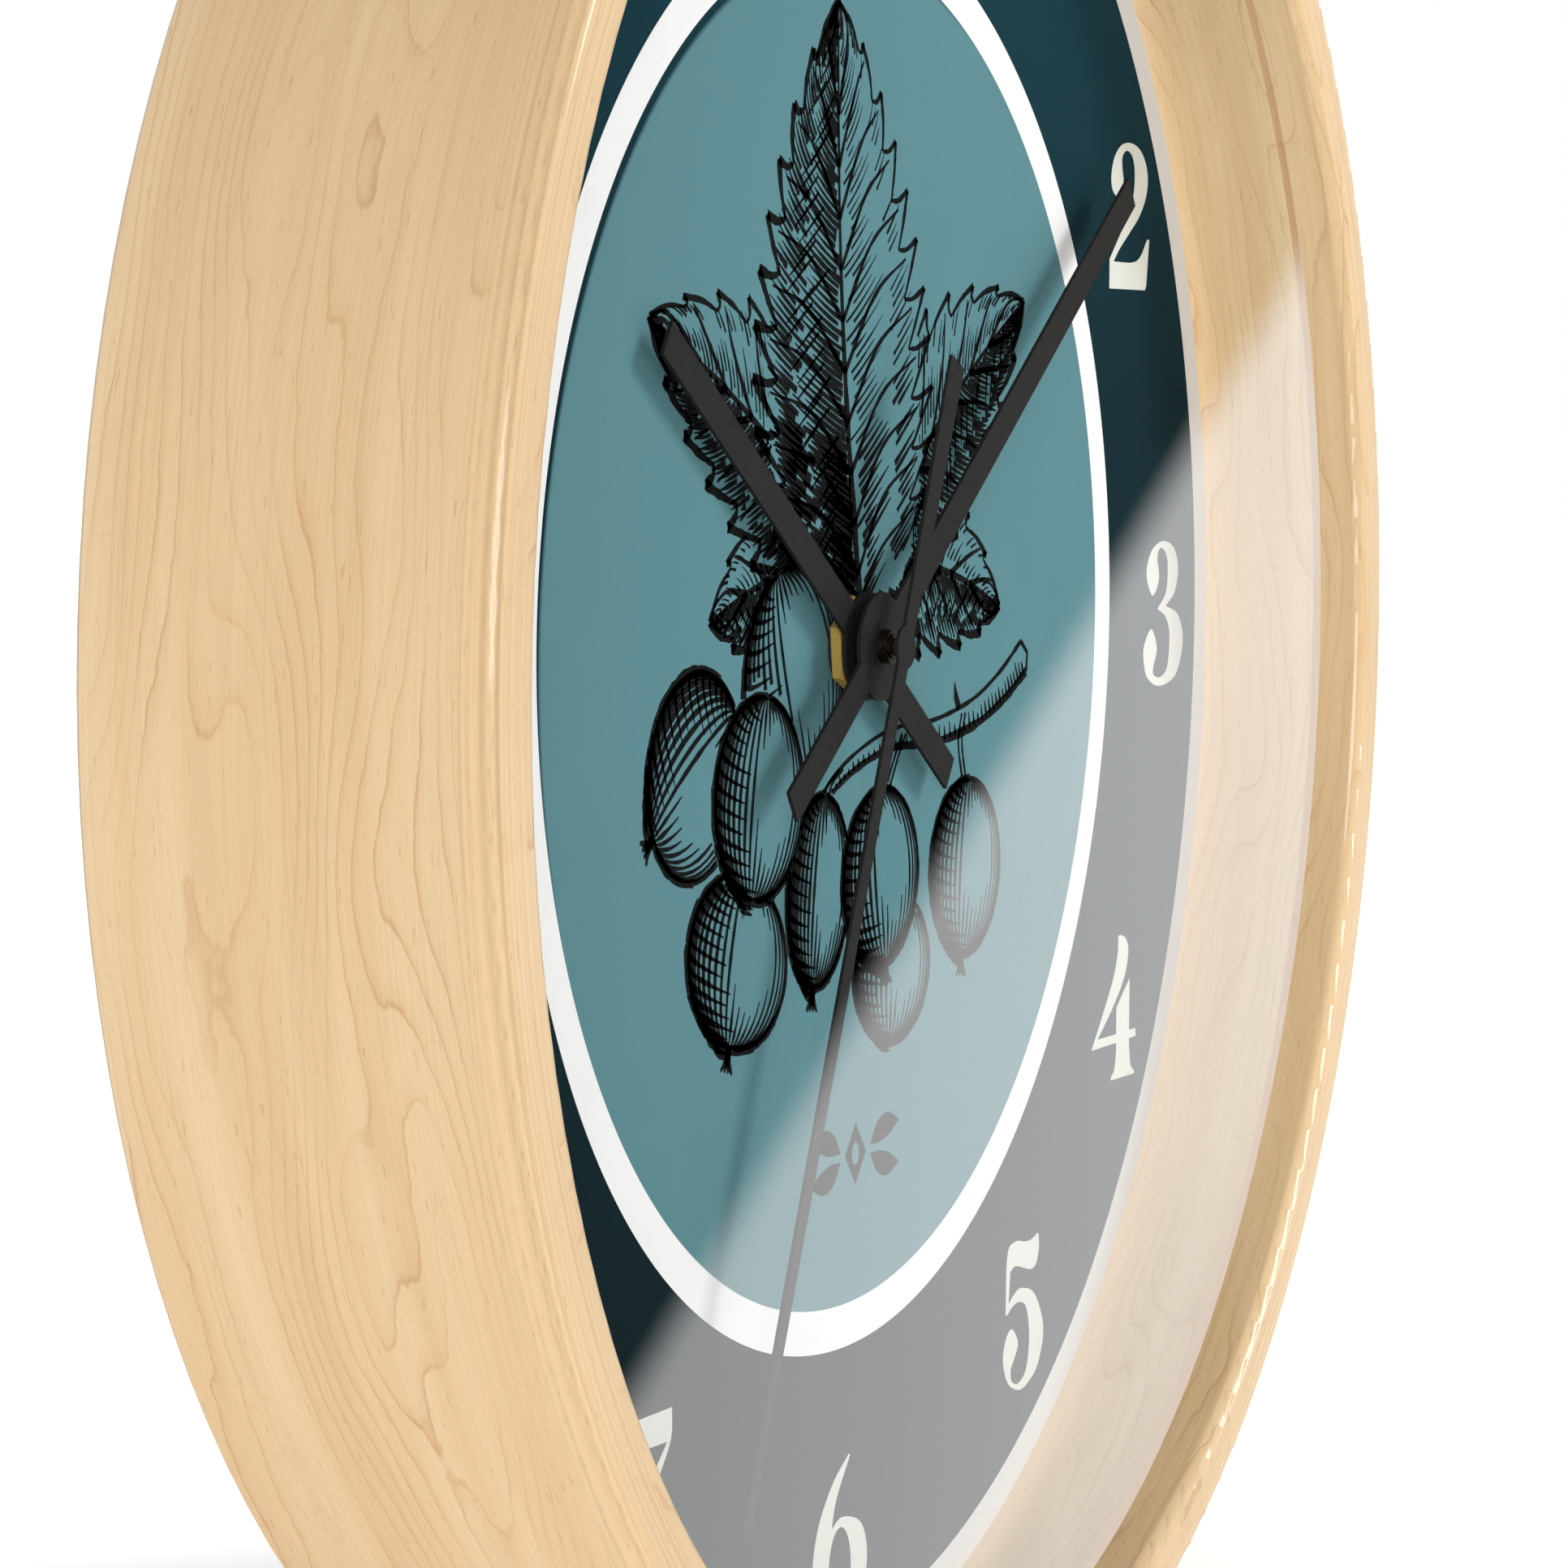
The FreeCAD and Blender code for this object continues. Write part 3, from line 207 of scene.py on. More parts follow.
def growth_lines(look, point):
    """Thin wavering lines along the fibres, clearer in some patches than in others."""
    drift = look.noise(look.stretched(point, (58, 13, 40)), detail=1.0)
    wobble = look.noise(look.stretched(point, (5, 2.2, 6)), detail=3.0)
    rings = look.sum("DIVIDE", point[1], GROWTH_SPACING)
    rings = look.sum("MULTIPLY_ADD", drift, 11.0, rings)
    rings = look.sum("MULTIPLY_ADD", wobble, 0.4, rings)
    line_shape = [(0.0, 0.0), (0.6, 0.0), (0.88, 0.3), (0.95, 1.0), (1.0, 0.0)]
    line = look.ramp(look.sum("FRACT", rings), line_shape)
    patches = look.noise(look.stretched(point, (50, 9, 60)), detail=2.0)
    presence = look.ramp(patches, [(0.4, 0.22), (0.6, 1.0)])
    return look.sum("MULTIPLY", look.sum("MULTIPLY", line, presence), 0.6)


def front_lip(look, point):
    """One round the ring's front lip, outside its opening; nothing elsewhere."""
    lip = look.node("MapRange")
    look.plug(lip.inputs["Value"], point[1])
    lip.inputs["From Min"].default_value = ring_low.y / MM + 0.6 * LIP_DEPTH
    lip.inputs["From Max"].default_value = ring_low.y / MM + LIP_DEPTH
    lip.inputs["To Min"].default_value = 1.0
    lip.inputs["To Max"].default_value = 0.0
    outside = look.sum("GREATER_THAN", point[2], OPENING_RADIUS + HOOP_THICKNESS)
    return look.sum("MULTIPLY", lip.outputs[0], outside)


def maple(name, grain):
    """Pale lacquered maple: faint tone bands, thin wavering growth lines, fine fibres and flecks.

    Round its front lip the wood shows the fine straight lines of its bent plies instead.
    """
    look = Look(name)
    point = grain(look)
    bands = look.noise(look.stretched(point, (170, 6, 60)), detail=3.0)
    tones = [(0.3, paint(225, 191, 145)), (0.5, paint(230, 197, 151)), (0.7, paint(235, 206, 163))]
    colour = look.ramp(bands, tones)
    bent = front_lip(look, point)
    ink = look.sum("MULTIPLY", growth_lines(look, point), look.sum("MULTIPLY_ADD", bent, -0.8, 1.0))
    colour = look.mix(ink, colour, paint(196, 144, 90))

    plies = look.noise(look.stretched(point, (260, 0.8, 0.34)), detail=2.0, roughness=0.7)
    ply_shade = look.ramp(plies, [(0.35, 0.83), (0.5, 1.02), (0.65, 1.09)])
    colour = look.mix(bent, colour, ply_shade, "MULTIPLY")
    fibres = look.noise(look.stretched(point, (40, 0.3, 0.5)), detail=3.0, roughness=0.7)
    shade = look.ramp(fibres, [(0.3, 0.93), (0.5, 1.0), (0.7, 1.03)])
    colour = look.mix(1.0, colour, shade, "MULTIPLY")
    flecks = look.noise(look.stretched(point, (3.0, 0.28, 0.3)), detail=1.0)
    fleck = look.ramp(flecks, [(0.7, 0.0), (0.76, 1.0)])
    colour = look.mix(look.sum("MULTIPLY", fleck, 0.35), colour, paint(176, 122, 70))

    look.set(Base_Color=colour, Specular_IOR_Level=0.2, Coat_Weight=0.5, Coat_Roughness=0.1)
    look.set(Roughness=look.sum("MULTIPLY_ADD", fibres, 0.2, 0.42))
    look.bump(look.sum("SUBTRACT", fibres, look.sum("MULTIPLY", fleck, 0.6)), 0.03, 0.6)
    return look.material


def straight_grain(look):
    return look.place()


def hardboard(name):
    """Pressed brown fibreboard, smooth on its faces."""
    look = Look(name)
    point = look.place()
    clumps = look.noise(look.stretched(point, (5, 5, 5)), detail=4.0, roughness=0.6)
    fibres = look.noise(look.stretched(point, (0.9, 0.5, 0.35)), detail=5.0, roughness=0.7, distortion=1.5)
    colour = look.mix(fibres, paint(92, 66, 44), paint(158, 121, 84))
    colour = look.mix(look.sum("MULTIPLY", clumps, 0.6), colour, paint(120, 88, 58))
    look.set(Base_Color=colour, Roughness=look.sum("MULTIPLY_ADD", fibres, 0.25, 0.55))
    look.bump(fibres, 0.08, 0.7)
    return look.material


# ---- printed dial ----
def printed(name, colour, fleck=0.03):
    """Matte ink on paper: the colour varies a little with the paper's tooth."""
    look = Look(name)
    point = look.place()
    tooth = look.noise(look.stretched(point, (0.35, 0.35, 0.35)), detail=3.0)
    mottle = look.noise(look.stretched(point, (14, 14, 14)), detail=2.0)
    shade = look.ramp(mottle, [(0.3, 1.0 - fleck), (0.7, 1.0)])
    tint = look.mix(1.0, colour(look, point) if callable(colour) else colour, shade, "MULTIPLY")
    look.set(Base_Color=tint, Roughness=look.sum("MULTIPLY_ADD", tooth, 0.12, 0.65))
    look.set(Specular_IOR_Level=0.02)
    look.bump(tooth, 0.01, 0.4)
    return look.material


def dark_field(look, point):
    """A deep teal that darkens towards the foot of the dial."""
    height = look.sum("MULTIPLY_ADD", point[2], 1 / (2 * FIELD_RADIUS), 0.5)
    tones = [(0.1, paint(16, 34, 38)), (0.62, paint(17, 43, 51)), (0.95, paint(25, 64, 76))]
    return look.ramp(height, tones)


def teal_disc(look, point):
    """Mid teal whose rim fades into the dark field over a fraction of a millimetre."""
    x = look.sum("SUBTRACT", point[0], DISC_CENTRE[0])
    z = look.sum("SUBTRACT", point[2], DISC_CENTRE[1])
    radius = look.from_axis(x, z)
    rim = look.node("MapRange")
    look.plug(rim.inputs["Value"], radius)
    rim.inputs["From Min"].default_value = DISC_RADIUS - DISC_FADE
    rim.inputs["From Max"].default_value = DISC_RADIUS
    return look.mix(rim.outputs[0], paint(96, 140, 147), paint(30, 62, 72))


# ---- plastics, metals and small parts ----
def plastic(name, colour, grain_mm, roughness, depth_mm=0.02, clear=0.0):
    """Moulded plastic with a fine spark-eroded texture and faint flow marks."""
    look = Look(name)
    point = look.place()
    grain = look.noise(look.stretched(point, (grain_mm,) * 3), detail=4.0, roughness=0.6)
    flow = look.noise(look.stretched(point, (18, 9, 9)), detail=2.0)
    shade = look.ramp(flow, [(0.3, 0.86), (0.7, 1.08)])
    look.set(Base_Color=look.mix(1.0, colour, shade, "MULTIPLY"))
    look.set(Roughness=look.sum("MULTIPLY_ADD", grain, 0.22, roughness), Subsurface_Weight=clear)
    look.shader.inputs["Subsurface Radius"].default_value = (0.002, 0.002, 0.002)
    look.bump(grain, depth_mm, 0.5)
    return look.material


def metal(name, colour, stretch, roughness, tarnish=0.15, metallic=1.0):
    """Bare or plated metal with drawn or turned marks of the given lengths and a little tarnish."""
    look = Look(name)
    point = look.place()
    marks = look.noise(look.stretched(point, stretch), detail=4.0, roughness=0.6)
    stains = look.noise(look.stretched(point, (4, 4, 4)), detail=3.0)
    dull = tuple(part * 0.55 for part in colour[:3]) + (1.0,)
    amount = look.sum("MULTIPLY", look.ramp(stains, [(0.45, 0.0), (0.8, 1.0)]), tarnish)
    look.set(Base_Color=look.mix(amount, colour, dull), Metallic=metallic)
    look.set(Roughness=look.sum("MULTIPLY_ADD", marks, 0.2, roughness))
    look.bump(marks, 0.01, 0.5)
    return look.material


def black_enamel(name):
    """The hands' even satin black."""
    look = Look(name)
    point = look.place()
    orange_peel = look.noise(look.stretched(point, (0.6, 0.6, 0.6)), detail=2.0)
    dust = look.noise(look.stretched(point, (9, 9, 9)), detail=3.0)
    look.set(Base_Color=look.mix(dust, paint(31, 31, 31), paint(37, 37, 37)))
    look.set(Roughness=look.sum("MULTIPLY_ADD", orange_peel, 0.15, 0.5), Specular_IOR_Level=0.05)
    look.bump(orange_peel, 0.008, 0.4)
    return look.material


def softbox_share(look):
    """How much painted softbox reflection the lens shows: only to the camera and only on front faces."""
    past_edge = look.node("VectorMath", operation="DOT_PRODUCT")
    look.plug(past_edge.inputs[0], look.node("TexCoord").outputs["Reflection"])
    past_edge.inputs[1].default_value = SOFTBOX_EDGE
    glow = look.node("MapRange", interpolation_type="SMOOTHSTEP")
    look.plug(glow.inputs["Value"], past_edge.outputs["Value"])
    glow.inputs["From Min"].default_value = -SOFTBOX_FADE
    glow.inputs["From Max"].default_value = SOFTBOX_FADE
    glow.inputs["To Max"].default_value = MIRROR_SHARE
    front = look.sum("SUBTRACT", 1.0, look.node("NewGeometry").outputs["Backfacing"])
    seen = look.sum("MULTIPLY", front, look.node("LightPath").outputs["Is Camera Ray"])
    mirrored = look.sum("MULTIPLY", glow.outputs[0], look.node("Fresnel").outputs[0])
    return look.sum("MULTIPLY", mirrored, seen)


def milky_share(look, radius):
    """How much painted glow the sheet's rim shows: only past the edge of the opening it shows through."""
    rim = look.node("MapRange")
    look.plug(rim.inputs["Value"], radius)
    rim.inputs["From Min"].default_value = OPENING_RADIUS - 0.1
    rim.inputs["From Max"].default_value = OPENING_RADIUS
    rim.inputs["To Max"].default_value = 0.75
    return rim.outputs[0]


def clear_acrylic(name):
    """A clear sheet: see-through, with a painted glow at its rim and a painted reflection of a softbox far
    off to the right.

    The painted softbox reflection shows where the mirrored line of sight lies on the lit side of
    SOFTBOX_EDGE.
    """
    look = Look(name)
    x, y, z = look.place()
    smears = look.noise(look.stretched((x, y, z), (35, 35, 12)), detail=3.0)
    clear = look.node("BsdfTransparent")
    look.plug(clear.inputs["Color"], look.mix(smears, (0.985, 0.99, 0.99, 1.0), (0.995, 1.0, 1.0, 1.0)))
    # The rim's painted glow: a warm grey emission that stands in for light gathered by the sheet's edge.
    rim_glow = look.node("Emission")
    rim_glow.inputs["Color"].default_value = paint(206, 182, 155)
    # The softbox's reflection is painted: an emission that only the camera sees; no softbox is in the scene.
    softbox = look.node("Emission")
    softbox.inputs["Strength"].default_value = SOFTBOX_BRIGHTNESS
    sheet = look.blend(milky_share(look, look.from_axis(x, z)), clear, rim_glow)
    both = look.blend(softbox_share(look), sheet, softbox)
    look.tree.links.new(both.outputs[0], look.output.inputs["Surface"])
    look.tree.nodes.remove(look.shader)
    return look.material


WIRE_PITCH = 0.22


def copper_wire(name):
    """Enamelled winding: fine turns side by side along the coil."""
    look = Look(name)
    point = look.place()
    turn = look.sum("SINE", look.sum("MULTIPLY", point[0], 2 * math.pi / WIRE_PITCH))
    tone = look.noise(look.stretched(point, (1.2, 6, 6)), detail=3.0)
    look.set(Base_Color=look.mix(tone, paint(150, 72, 32), paint(206, 118, 62)))
    look.set(Metallic=0.85, Roughness=0.32, Coat_Weight=0.5)
    look.bump(turn, 0.06, 0.8)
    return look.material


def circuit_laminate(name):
    """Green solder mask with faint copper tracks underneath."""
    look = Look(name)
    point = look.place()
    cells = look.node("TexVoronoi", feature="DISTANCE_TO_EDGE", distance="CHEBYCHEV")
    look.plug(cells.inputs["Vector"], look.stretched((point[0], 0.0, point[2]), (3.4, 1, 2.6)))
    cells.inputs["Scale"].default_value = 1.0
    cells.inputs["Randomness"].default_value = 0.75
    track = look.ramp(cells.outputs["Distance"], [(0.05, 1.0), (0.09, 0.0)])
    weave = look.noise(look.stretched(point, (0.5, 0.5, 0.5)), detail=2.0)
    look.set(Base_Color=look.mix(track, paint(16, 78, 46), paint(52, 122, 66)))
    look.set(Roughness=look.sum("MULTIPLY_ADD", weave, 0.15, 0.3), Coat_Weight=0.4)
    look.bump(track, 0.03, 0.6)
    return look.material


def battery_wrap(name):
    """A battery's printed can without lettering: dark blue, a copper band, bare steel ends."""
    look = Look(name)
    point = look.place()
    x = point[0]
    low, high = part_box("battery_cell")
    nub = high.x / MM - 1.3
    copper = 0.28 * (high.x - low.x) / MM
    edges = [low.x / MM + 0.6, nub - copper, nub - copper + 0.6, nub - 0.6]
    sleeve = look.sum("MULTIPLY", look.sum("GREATER_THAN", x, edges[0]), look.sum("LESS_THAN", x, edges[3]))
    band = look.sum("GREATER_THAN", x, edges[1])
    rule = look.sum("MULTIPLY", band, look.sum("LESS_THAN", x, edges[2]))
    scuffs = look.noise(look.stretched(point, (6, 0.6, 0.6)), detail=4.0)
    colour = look.mix(band, paint(38, 48, 66), paint(186, 122, 62))
    colour = look.mix(rule, colour, paint(214, 208, 196))
    colour = look.mix(look.ramp(scuffs, [(0.62, 0.0), (0.75, 0.35)]), colour, paint(150, 150, 150))
    colour = look.mix(sleeve, paint(188, 188, 184), colour)
    look.set(Base_Color=colour, Metallic=look.sum("MULTIPLY_ADD", sleeve, -0.35, 1.0))
    look.set(Roughness=look.sum("MULTIPLY_ADD", scuffs, 0.2, 0.24))
    look.set(Coat_Weight=look.sum("MULTIPLY", sleeve, 0.5))
    look.bump(scuffs, 0.01, 0.4)
    return look.material


LOOKS = {
    "maple": maple("bent_maple", grain_round_ring),
    "clear_acrylic": clear_acrylic("clear_acrylic"),
    "printed_sheet": printed("white_border", paint(226, 226, 226)),
    "ink": printed("black_ink", paint(20, 22, 23)),
    "field": printed("dark_field", dark_field),
    "disc": printed("teal_disc", teal_disc),
    "white_ring": printed("white_ring", paint(250, 250, 250)),
    "numerals": printed("numeral_ink", paint(229, 231, 223)),
    "hardboard": hardboard("hardboard"),
    "plated_steel": metal("plated_steel", paint(206, 206, 200), (2.5, 2.5, 0.4), 0.28),
    "bright_steel": metal("bright_steel", paint(212, 212, 214), (0.3, 5, 0.3), 0.16, 0.05),
    "nickel_strip": metal("nickel_strip", paint(202, 196, 182), (6, 0.3, 6), 0.24),
    "black_plastic": plastic("black_plastic", paint(34, 34, 35), 0.22, 0.42, 0.03),
    "white_plastic": plastic("white_plastic", paint(226, 225, 217), 0.5, 0.34, 0.01, 0.15),
    "gear_plastic": plastic("gear_plastic", paint(236, 232, 216), 0.6, 0.3, 0.008, 0.2),
    "rubber": plastic("rubber", paint(28, 28, 29), 0.4, 0.66, 0.03),
    "black_fibre": plastic("black_fibre", paint(24, 24, 25), 0.18, 0.7, 0.05),
    "brass": metal("brass", paint(216, 178, 92), (0.4, 3, 0.4), 0.3, 0.2, 0.5),
    "soft_iron": metal("soft_iron", paint(150, 150, 154), (5, 1, 0.3), 0.36, 0.4),
    "copper_wire": copper_wire("copper_wire"),
    "magnet": metal("magnet", paint(92, 92, 96), (0.4, 0.4, 0.4), 0.42, 0.4),
    "circuit_laminate": circuit_laminate("circuit_laminate"),
    "black_resin": plastic("black_resin", paint(20, 20, 21), 1.5, 0.14, 0.02),
    "battery_wrap": battery_wrap("battery_wrap"),
    "black_enamel": black_enamel("black_enamel"),
}
# These pieces differ from the others that share their slot.
# Brass painted very dark, for the minute hand's nut and the cannon pinion.
dark_brass = metal("dark_brass", paint(52, 45, 35), (0.3, 2, 0.3), 0.35, 0.6)
ODD_LOOKS = {
    "hanger_block": maple("straight_maple", straight_grain),
    "minute_hand_nut": dark_brass,
    "cannon_pinion": dark_brass,
}

for part in frame["record"]["subparts"]:
    look = ODD_LOOKS.get(part["node"], LOOKS[part["material_slot"]])
    for material_slot in frame["nodes"][part["node"]].material_slots:
        material_slot.material = look


# ---- flat printed pieces ----
RING_POINTS = 360
OVAL_POINTS = 48


def add_piece(name, vertices, faces, material):
    """A new mesh piece on the case, from vertices in metres, in the given material."""
    mesh = bpy.data.meshes.new(name)
    mesh.from_pydata(vertices, [], faces)
    mesh.validate()
    mesh.update()
    mesh.materials.append(material)
    piece = bpy.data.objects.new(name, mesh)
    bpy.context.scene.collection.objects.link(piece)
    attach(piece, CASE)


def on_dial(point, layer):
    """An (x, z) point on the dial, as a place in metres that stands layer millimetres proud."""
    return (point[0] * MM, DIAL_Y - layer * MM, point[1] * MM)


def around(centre, radius, turn):
    return (centre[0] + radius * math.sin(turn), centre[1] + radius * math.cos(turn))


def printed_ring(name, outer_centre, outer, inner_centre, inner, layer, material):
    """A thin closed ring between two circles."""
    vertices = []
    for number in range(RING_POINTS):
        turn = 2 * math.pi * number / RING_POINTS
        rim = around(outer_centre, outer, turn)
        hole = around(inner_centre, inner, turn)
        vertices += [on_dial(rim, layer), on_dial(hole, layer), on_dial(rim, 0.0), on_dial(hole, 0.0)]
    faces = []
    for number in range(RING_POINTS):
        here = 4 * number
        there = 4 * ((number + 1) % RING_POINTS)
        for first, second in ((0, 1), (1, 3), (3, 2), (2, 0)):
            faces.append((here + first, here + second, there + second, there + first))
    add_piece(name, vertices, faces, material)


def smooth_run(points, closed, steps):
    """A Catmull-Rom curve through some points."""
    count = len(points)
    pairs = count if closed else count - 1
    line = []
    for number in range(pairs):
        if closed:
            a, b, c, d = [Vector(points[(number + k) % count][:2]) for k in (-1, 0, 1, 2)]
        else:
            b, c = Vector(points[number][:2]), Vector(points[number + 1][:2])
            a = Vector(points[number - 1][:2]) if number else 2 * b - c
            d = Vector(points[number + 2][:2]) if number + 2 < count else 2 * c - b
        for step in range(steps):
            t = step / steps
            square = (2 * a - 5 * b + 4 * c - d) * t ** 2
            cube = (3 * b - a - 3 * c + d) * t ** 3
            line.append((2 * b + (c - a) * t + square + cube) / 2)
    if not closed:
        line.append(Vector(points[-1][:2]))
    return line


def smooth_outline(points, steps=7):
    """A closed outline through (x, z) points; a third entry in a point makes it a sharp corner."""
    corners = [number for number, point in enumerate(points) if len(point) == 3]
    if not corners:
        return smooth_run(points, True, steps)
    turned = points[corners[0]:] + points[:corners[0]] + [points[corners[0]]]
    outline, run = [], [turned[0]]
    for point in turned[1:]:
        run.append(point)
        if len(point) == 3:
            outline += smooth_run(run, False, 1 if len(run) == 2 else steps)[:-1]
            run = [point]
    return outline


def oval(x, z, half_width, half_height, lean=0.0):
    """An ellipse as an outline; lean turns it clockwise, in degrees."""
    turn = math.radians(lean)
    outline = []
    for number in range(OVAL_POINTS):
        angle = 2 * math.pi * number / OVAL_POINTS
        across = half_width * math.sin(angle)
        up = half_height * math.cos(angle)
        outline.append(Vector((x + across * math.cos(turn) + up * math.sin(turn),
                               z - across * math.sin(turn) + up * math.cos(turn))))
    return outline


# ---- numerals: a fat old-style face, each digit one unit high on its baseline ----
SIX_BODY = [
    (0.556, 0.999, 1), (0.54, 1.012, 1), (0.29, 0.86), (0.081, 0.628), (0.0, 0.35), (0.081, 0.1),
    (0.405, -0.012), (0.73, 0.08), (0.827, 0.327), (0.73, 0.545), (0.452, 0.633), (0.283, 0.586, 1),
    (0.359, 0.767),
]
SIX_COUNTER = (0.411, 0.314, 0.168, 0.261)
DIGITS = {
    "0": [oval(0.38, 0.5, 0.38, 0.512), oval(0.38, 0.5, 0.15, 0.45)],
    "1": [[
        (0.0, 0.0, 1), (0.0, 0.022), (0.10, 0.06), (0.15, 0.16), (0.15, 0.70), (0.10, 0.775),
        (0.0, 0.785, 1), (0.0, 0.82, 1), (0.16, 0.88), (0.29, 1.0, 1), (0.40, 1.0, 1), (0.40, 0.16),
        (0.45, 0.06), (0.55, 0.022), (0.55, 0.0, 1),
    ]],
    "2": [[
        (0.0, 0.0, 1), (0.0, 0.2, 1), (0.17, 0.35), (0.34, 0.50), (0.44, 0.64), (0.465, 0.79), (0.42, 0.905),
        (0.31, 0.945), (0.225, 0.90), (0.225, 0.82), (0.248, 0.735), (0.21, 0.65), (0.125, 0.628),
        (0.04, 0.675), (0.02, 0.77), (0.075, 0.89), (0.20, 0.975), (0.37, 1.0), (0.55, 0.965), (0.67, 0.875),
        (0.716, 0.76), (0.68, 0.635), (0.56, 0.505), (0.38, 0.39), (0.19, 0.275), (0.075, 0.185, 1),
        (0.42, 0.185), (0.58, 0.225), (0.70, 0.335), (0.722, 0.35, 1), (0.756, 0.35, 1), (0.705, 0.03, 1),
        (0.68, 0.0, 1),
    ]],
    "3": [[
        (0.271, 0.538, 1), (0.422, 0.484), (0.503, 0.392), (0.514, 0.276), (0.468, 0.114), (0.329, 0.056),
        (0.20, 0.08), (0.20, 0.14), (0.264, 0.264), (0.155, 0.40), (0.028, 0.31), (0.0, 0.218),
        (0.074, 0.067), (0.329, -0.005), (0.653, 0.067), (0.785, 0.299), (0.677, 0.484),
        (0.433, 0.554, 1), (0.607, 0.646), (0.674, 0.809), (0.584, 0.959), (0.364, 1.01),
        (0.144, 0.948), (0.046, 0.785), (0.171, 0.633), (0.294, 0.75), (0.255, 0.90),
        (0.329, 0.966), (0.44, 0.91), (0.468, 0.797), (0.433, 0.646),
    ]],
    "4": [[
        (0.0, 0.248, 1), (0.22, 0.487), (0.405, 0.707), (0.487, 0.88), (0.494, 0.985), (0.549, 0.994),
        (0.649, 0.955), (0.688, 0.857), (0.614, 0.695), (0.405, 0.51), (0.116, 0.313, 1), (0.47, 0.313, 1),
        (0.47, 0.498, 1), (0.718, 0.679, 1), (0.718, 0.317, 1), (0.841, 0.317, 1), (0.85, 0.262, 1),
        (0.718, 0.257, 1), (0.725, 0.185), (0.753, 0.07), (0.823, 0.018), (0.82, 0.0, 1), (0.375, 0.0, 1),
        (0.382, 0.023), (0.44, 0.07), (0.47, 0.185), (0.47, 0.253, 1),
    ]],
    "5": [[
        (0.063, 0.927), (0.202, 0.999), (0.387, 0.973), (0.503, 0.978), (0.584, 1.0), (0.612, 0.992, 1),
        (0.621, 0.904), (0.572, 0.799), (0.48, 0.774), (0.364, 0.799), (0.202, 0.834), (0.114, 0.806, 1),
        (0.09, 0.598, 1), (0.2, 0.653), (0.317, 0.672), (0.549, 0.598), (0.711, 0.348), (0.619, 0.116),
        (0.433, 0.012), (0.271, -0.007), (0.086, 0.07), (0.0, 0.232), (0.051, 0.371), (0.155, 0.419),
        (0.26, 0.313), (0.202, 0.22), (0.137, 0.151), (0.155, 0.07), (0.271, 0.039), (0.41, 0.116),
        (0.461, 0.336), (0.399, 0.533), (0.271, 0.584), (0.155, 0.568), (0.075, 0.53), (0.039, 0.528, 1),
    ]],
    "6": [SIX_BODY, oval(*SIX_COUNTER)],
    "7": [[
        (0.0, 0.64, 1), (0.035, 1.0, 1), (0.74, 1.0, 1), (0.725, 0.815), (0.56, 0.606), (0.49, 0.46),
        (0.46, 0.27), (0.455, 0.0, 1), (0.2, 0.0, 1), (0.225, 0.2), (0.31, 0.43), (0.434, 0.594),
        (0.677, 0.81, 1), (0.25, 0.81), (0.1, 0.755), (0.036, 0.64, 1),
    ]],
    "8": [
        [
            (0.385, 1.01), (0.60, 0.95), (0.69, 0.79), (0.62, 0.635), (0.50, 0.545, 1), (0.69, 0.45),
            (0.77, 0.26), (0.66, 0.065), (0.385, -0.01), (0.11, 0.065), (0.0, 0.25), (0.07, 0.41),
            (0.24, 0.515, 1), (0.12, 0.60), (0.07, 0.76), (0.16, 0.95),
        ],
        oval(0.40, 0.77, 0.125, 0.195, -14), oval(0.37, 0.265, 0.155, 0.235, -14),
    ],
    "9": [[(0.827 - x, 1.0 - z, *rest) for x, z, *rest in SIX_BODY],
          oval(0.827 - SIX_COUNTER[0], 1.0 - SIX_COUNTER[1], *SIX_COUNTER[2:])],
}
DIGIT_GAP = 0.06


def digit_outlines(digit, left):
    """A digit's outlines with its left edge moved to left, and where its right edge comes."""
    outlines = [shape if isinstance(shape[0], Vector) else smooth_outline(shape) for shape in DIGITS[digit]]
    start = min(point.x for outline in outlines for point in outline)
    moved = [[Vector((point.x - start + left, point.y)) for point in outline] for outline in outlines]
    return moved, max(point.x for outline in moved for point in outline)


def numeral_outlines(number):
    """The outlines of an hour's numeral, in millimetres, in its place on the dial."""
    outlines, right = [], -DIGIT_GAP
    for digit in str(number):
        made, right = digit_outlines(digit, right + DIGIT_GAP)
        outlines += made
    centre_x, centre_z = around((0, 0), NUMERAL_CIRCLE, math.radians(30 * number))
    shift = NUMERAL_SHIFT.get(number, (0, 0))
    placed = []
    for outline in outlines:
        placed.append([(centre_x + shift[0] + (point.x - right / 2) * NUMERAL_HEIGHT,
                        centre_z + shift[1] + (point.y - 0.5) * NUMERAL_HEIGHT) for point in outline])
    return placed


def filled(name, outlines, layer, material):
    """Closed outlines, holes included, filled and given the thickness of one printed layer."""
    curve = bpy.data.curves.new(name, "CURVE")
    curve.dimensions = "2D"
    curve.fill_mode = "BOTH"
    curve.extrude = layer * MM / 2
    for outline in outlines:
        spline = curve.splines.new("POLY")
        spline.points.add(len(outline) - 1)
        spline.use_cyclic_u = True
        for target, point in zip(spline.points, outline):
            target.co = (point[0] * MM, point[1] * MM, 0.0, 1.0)
    drawing = bpy.data.objects.new(name + "_drawing", curve)
    bpy.context.scene.collection.objects.link(drawing)
    bpy.context.view_layer.update()
    mesh = bpy.data.meshes.new_from_object(drawing.evaluated_get(bpy.context.evaluated_depsgraph_get()))
    bpy.data.objects.remove(drawing)
    upright = Matrix.Rotation(math.pi / 2, 4, "X")
    mesh.transform(Matrix.Translation((0, DIAL_Y - layer * MM / 2, 0)) @ upright)
    vertices = [tuple(vertex.co) for vertex in mesh.vertices]
    faces = [tuple(face.vertices) for face in mesh.polygons]
    add_piece(name, vertices, faces, material)


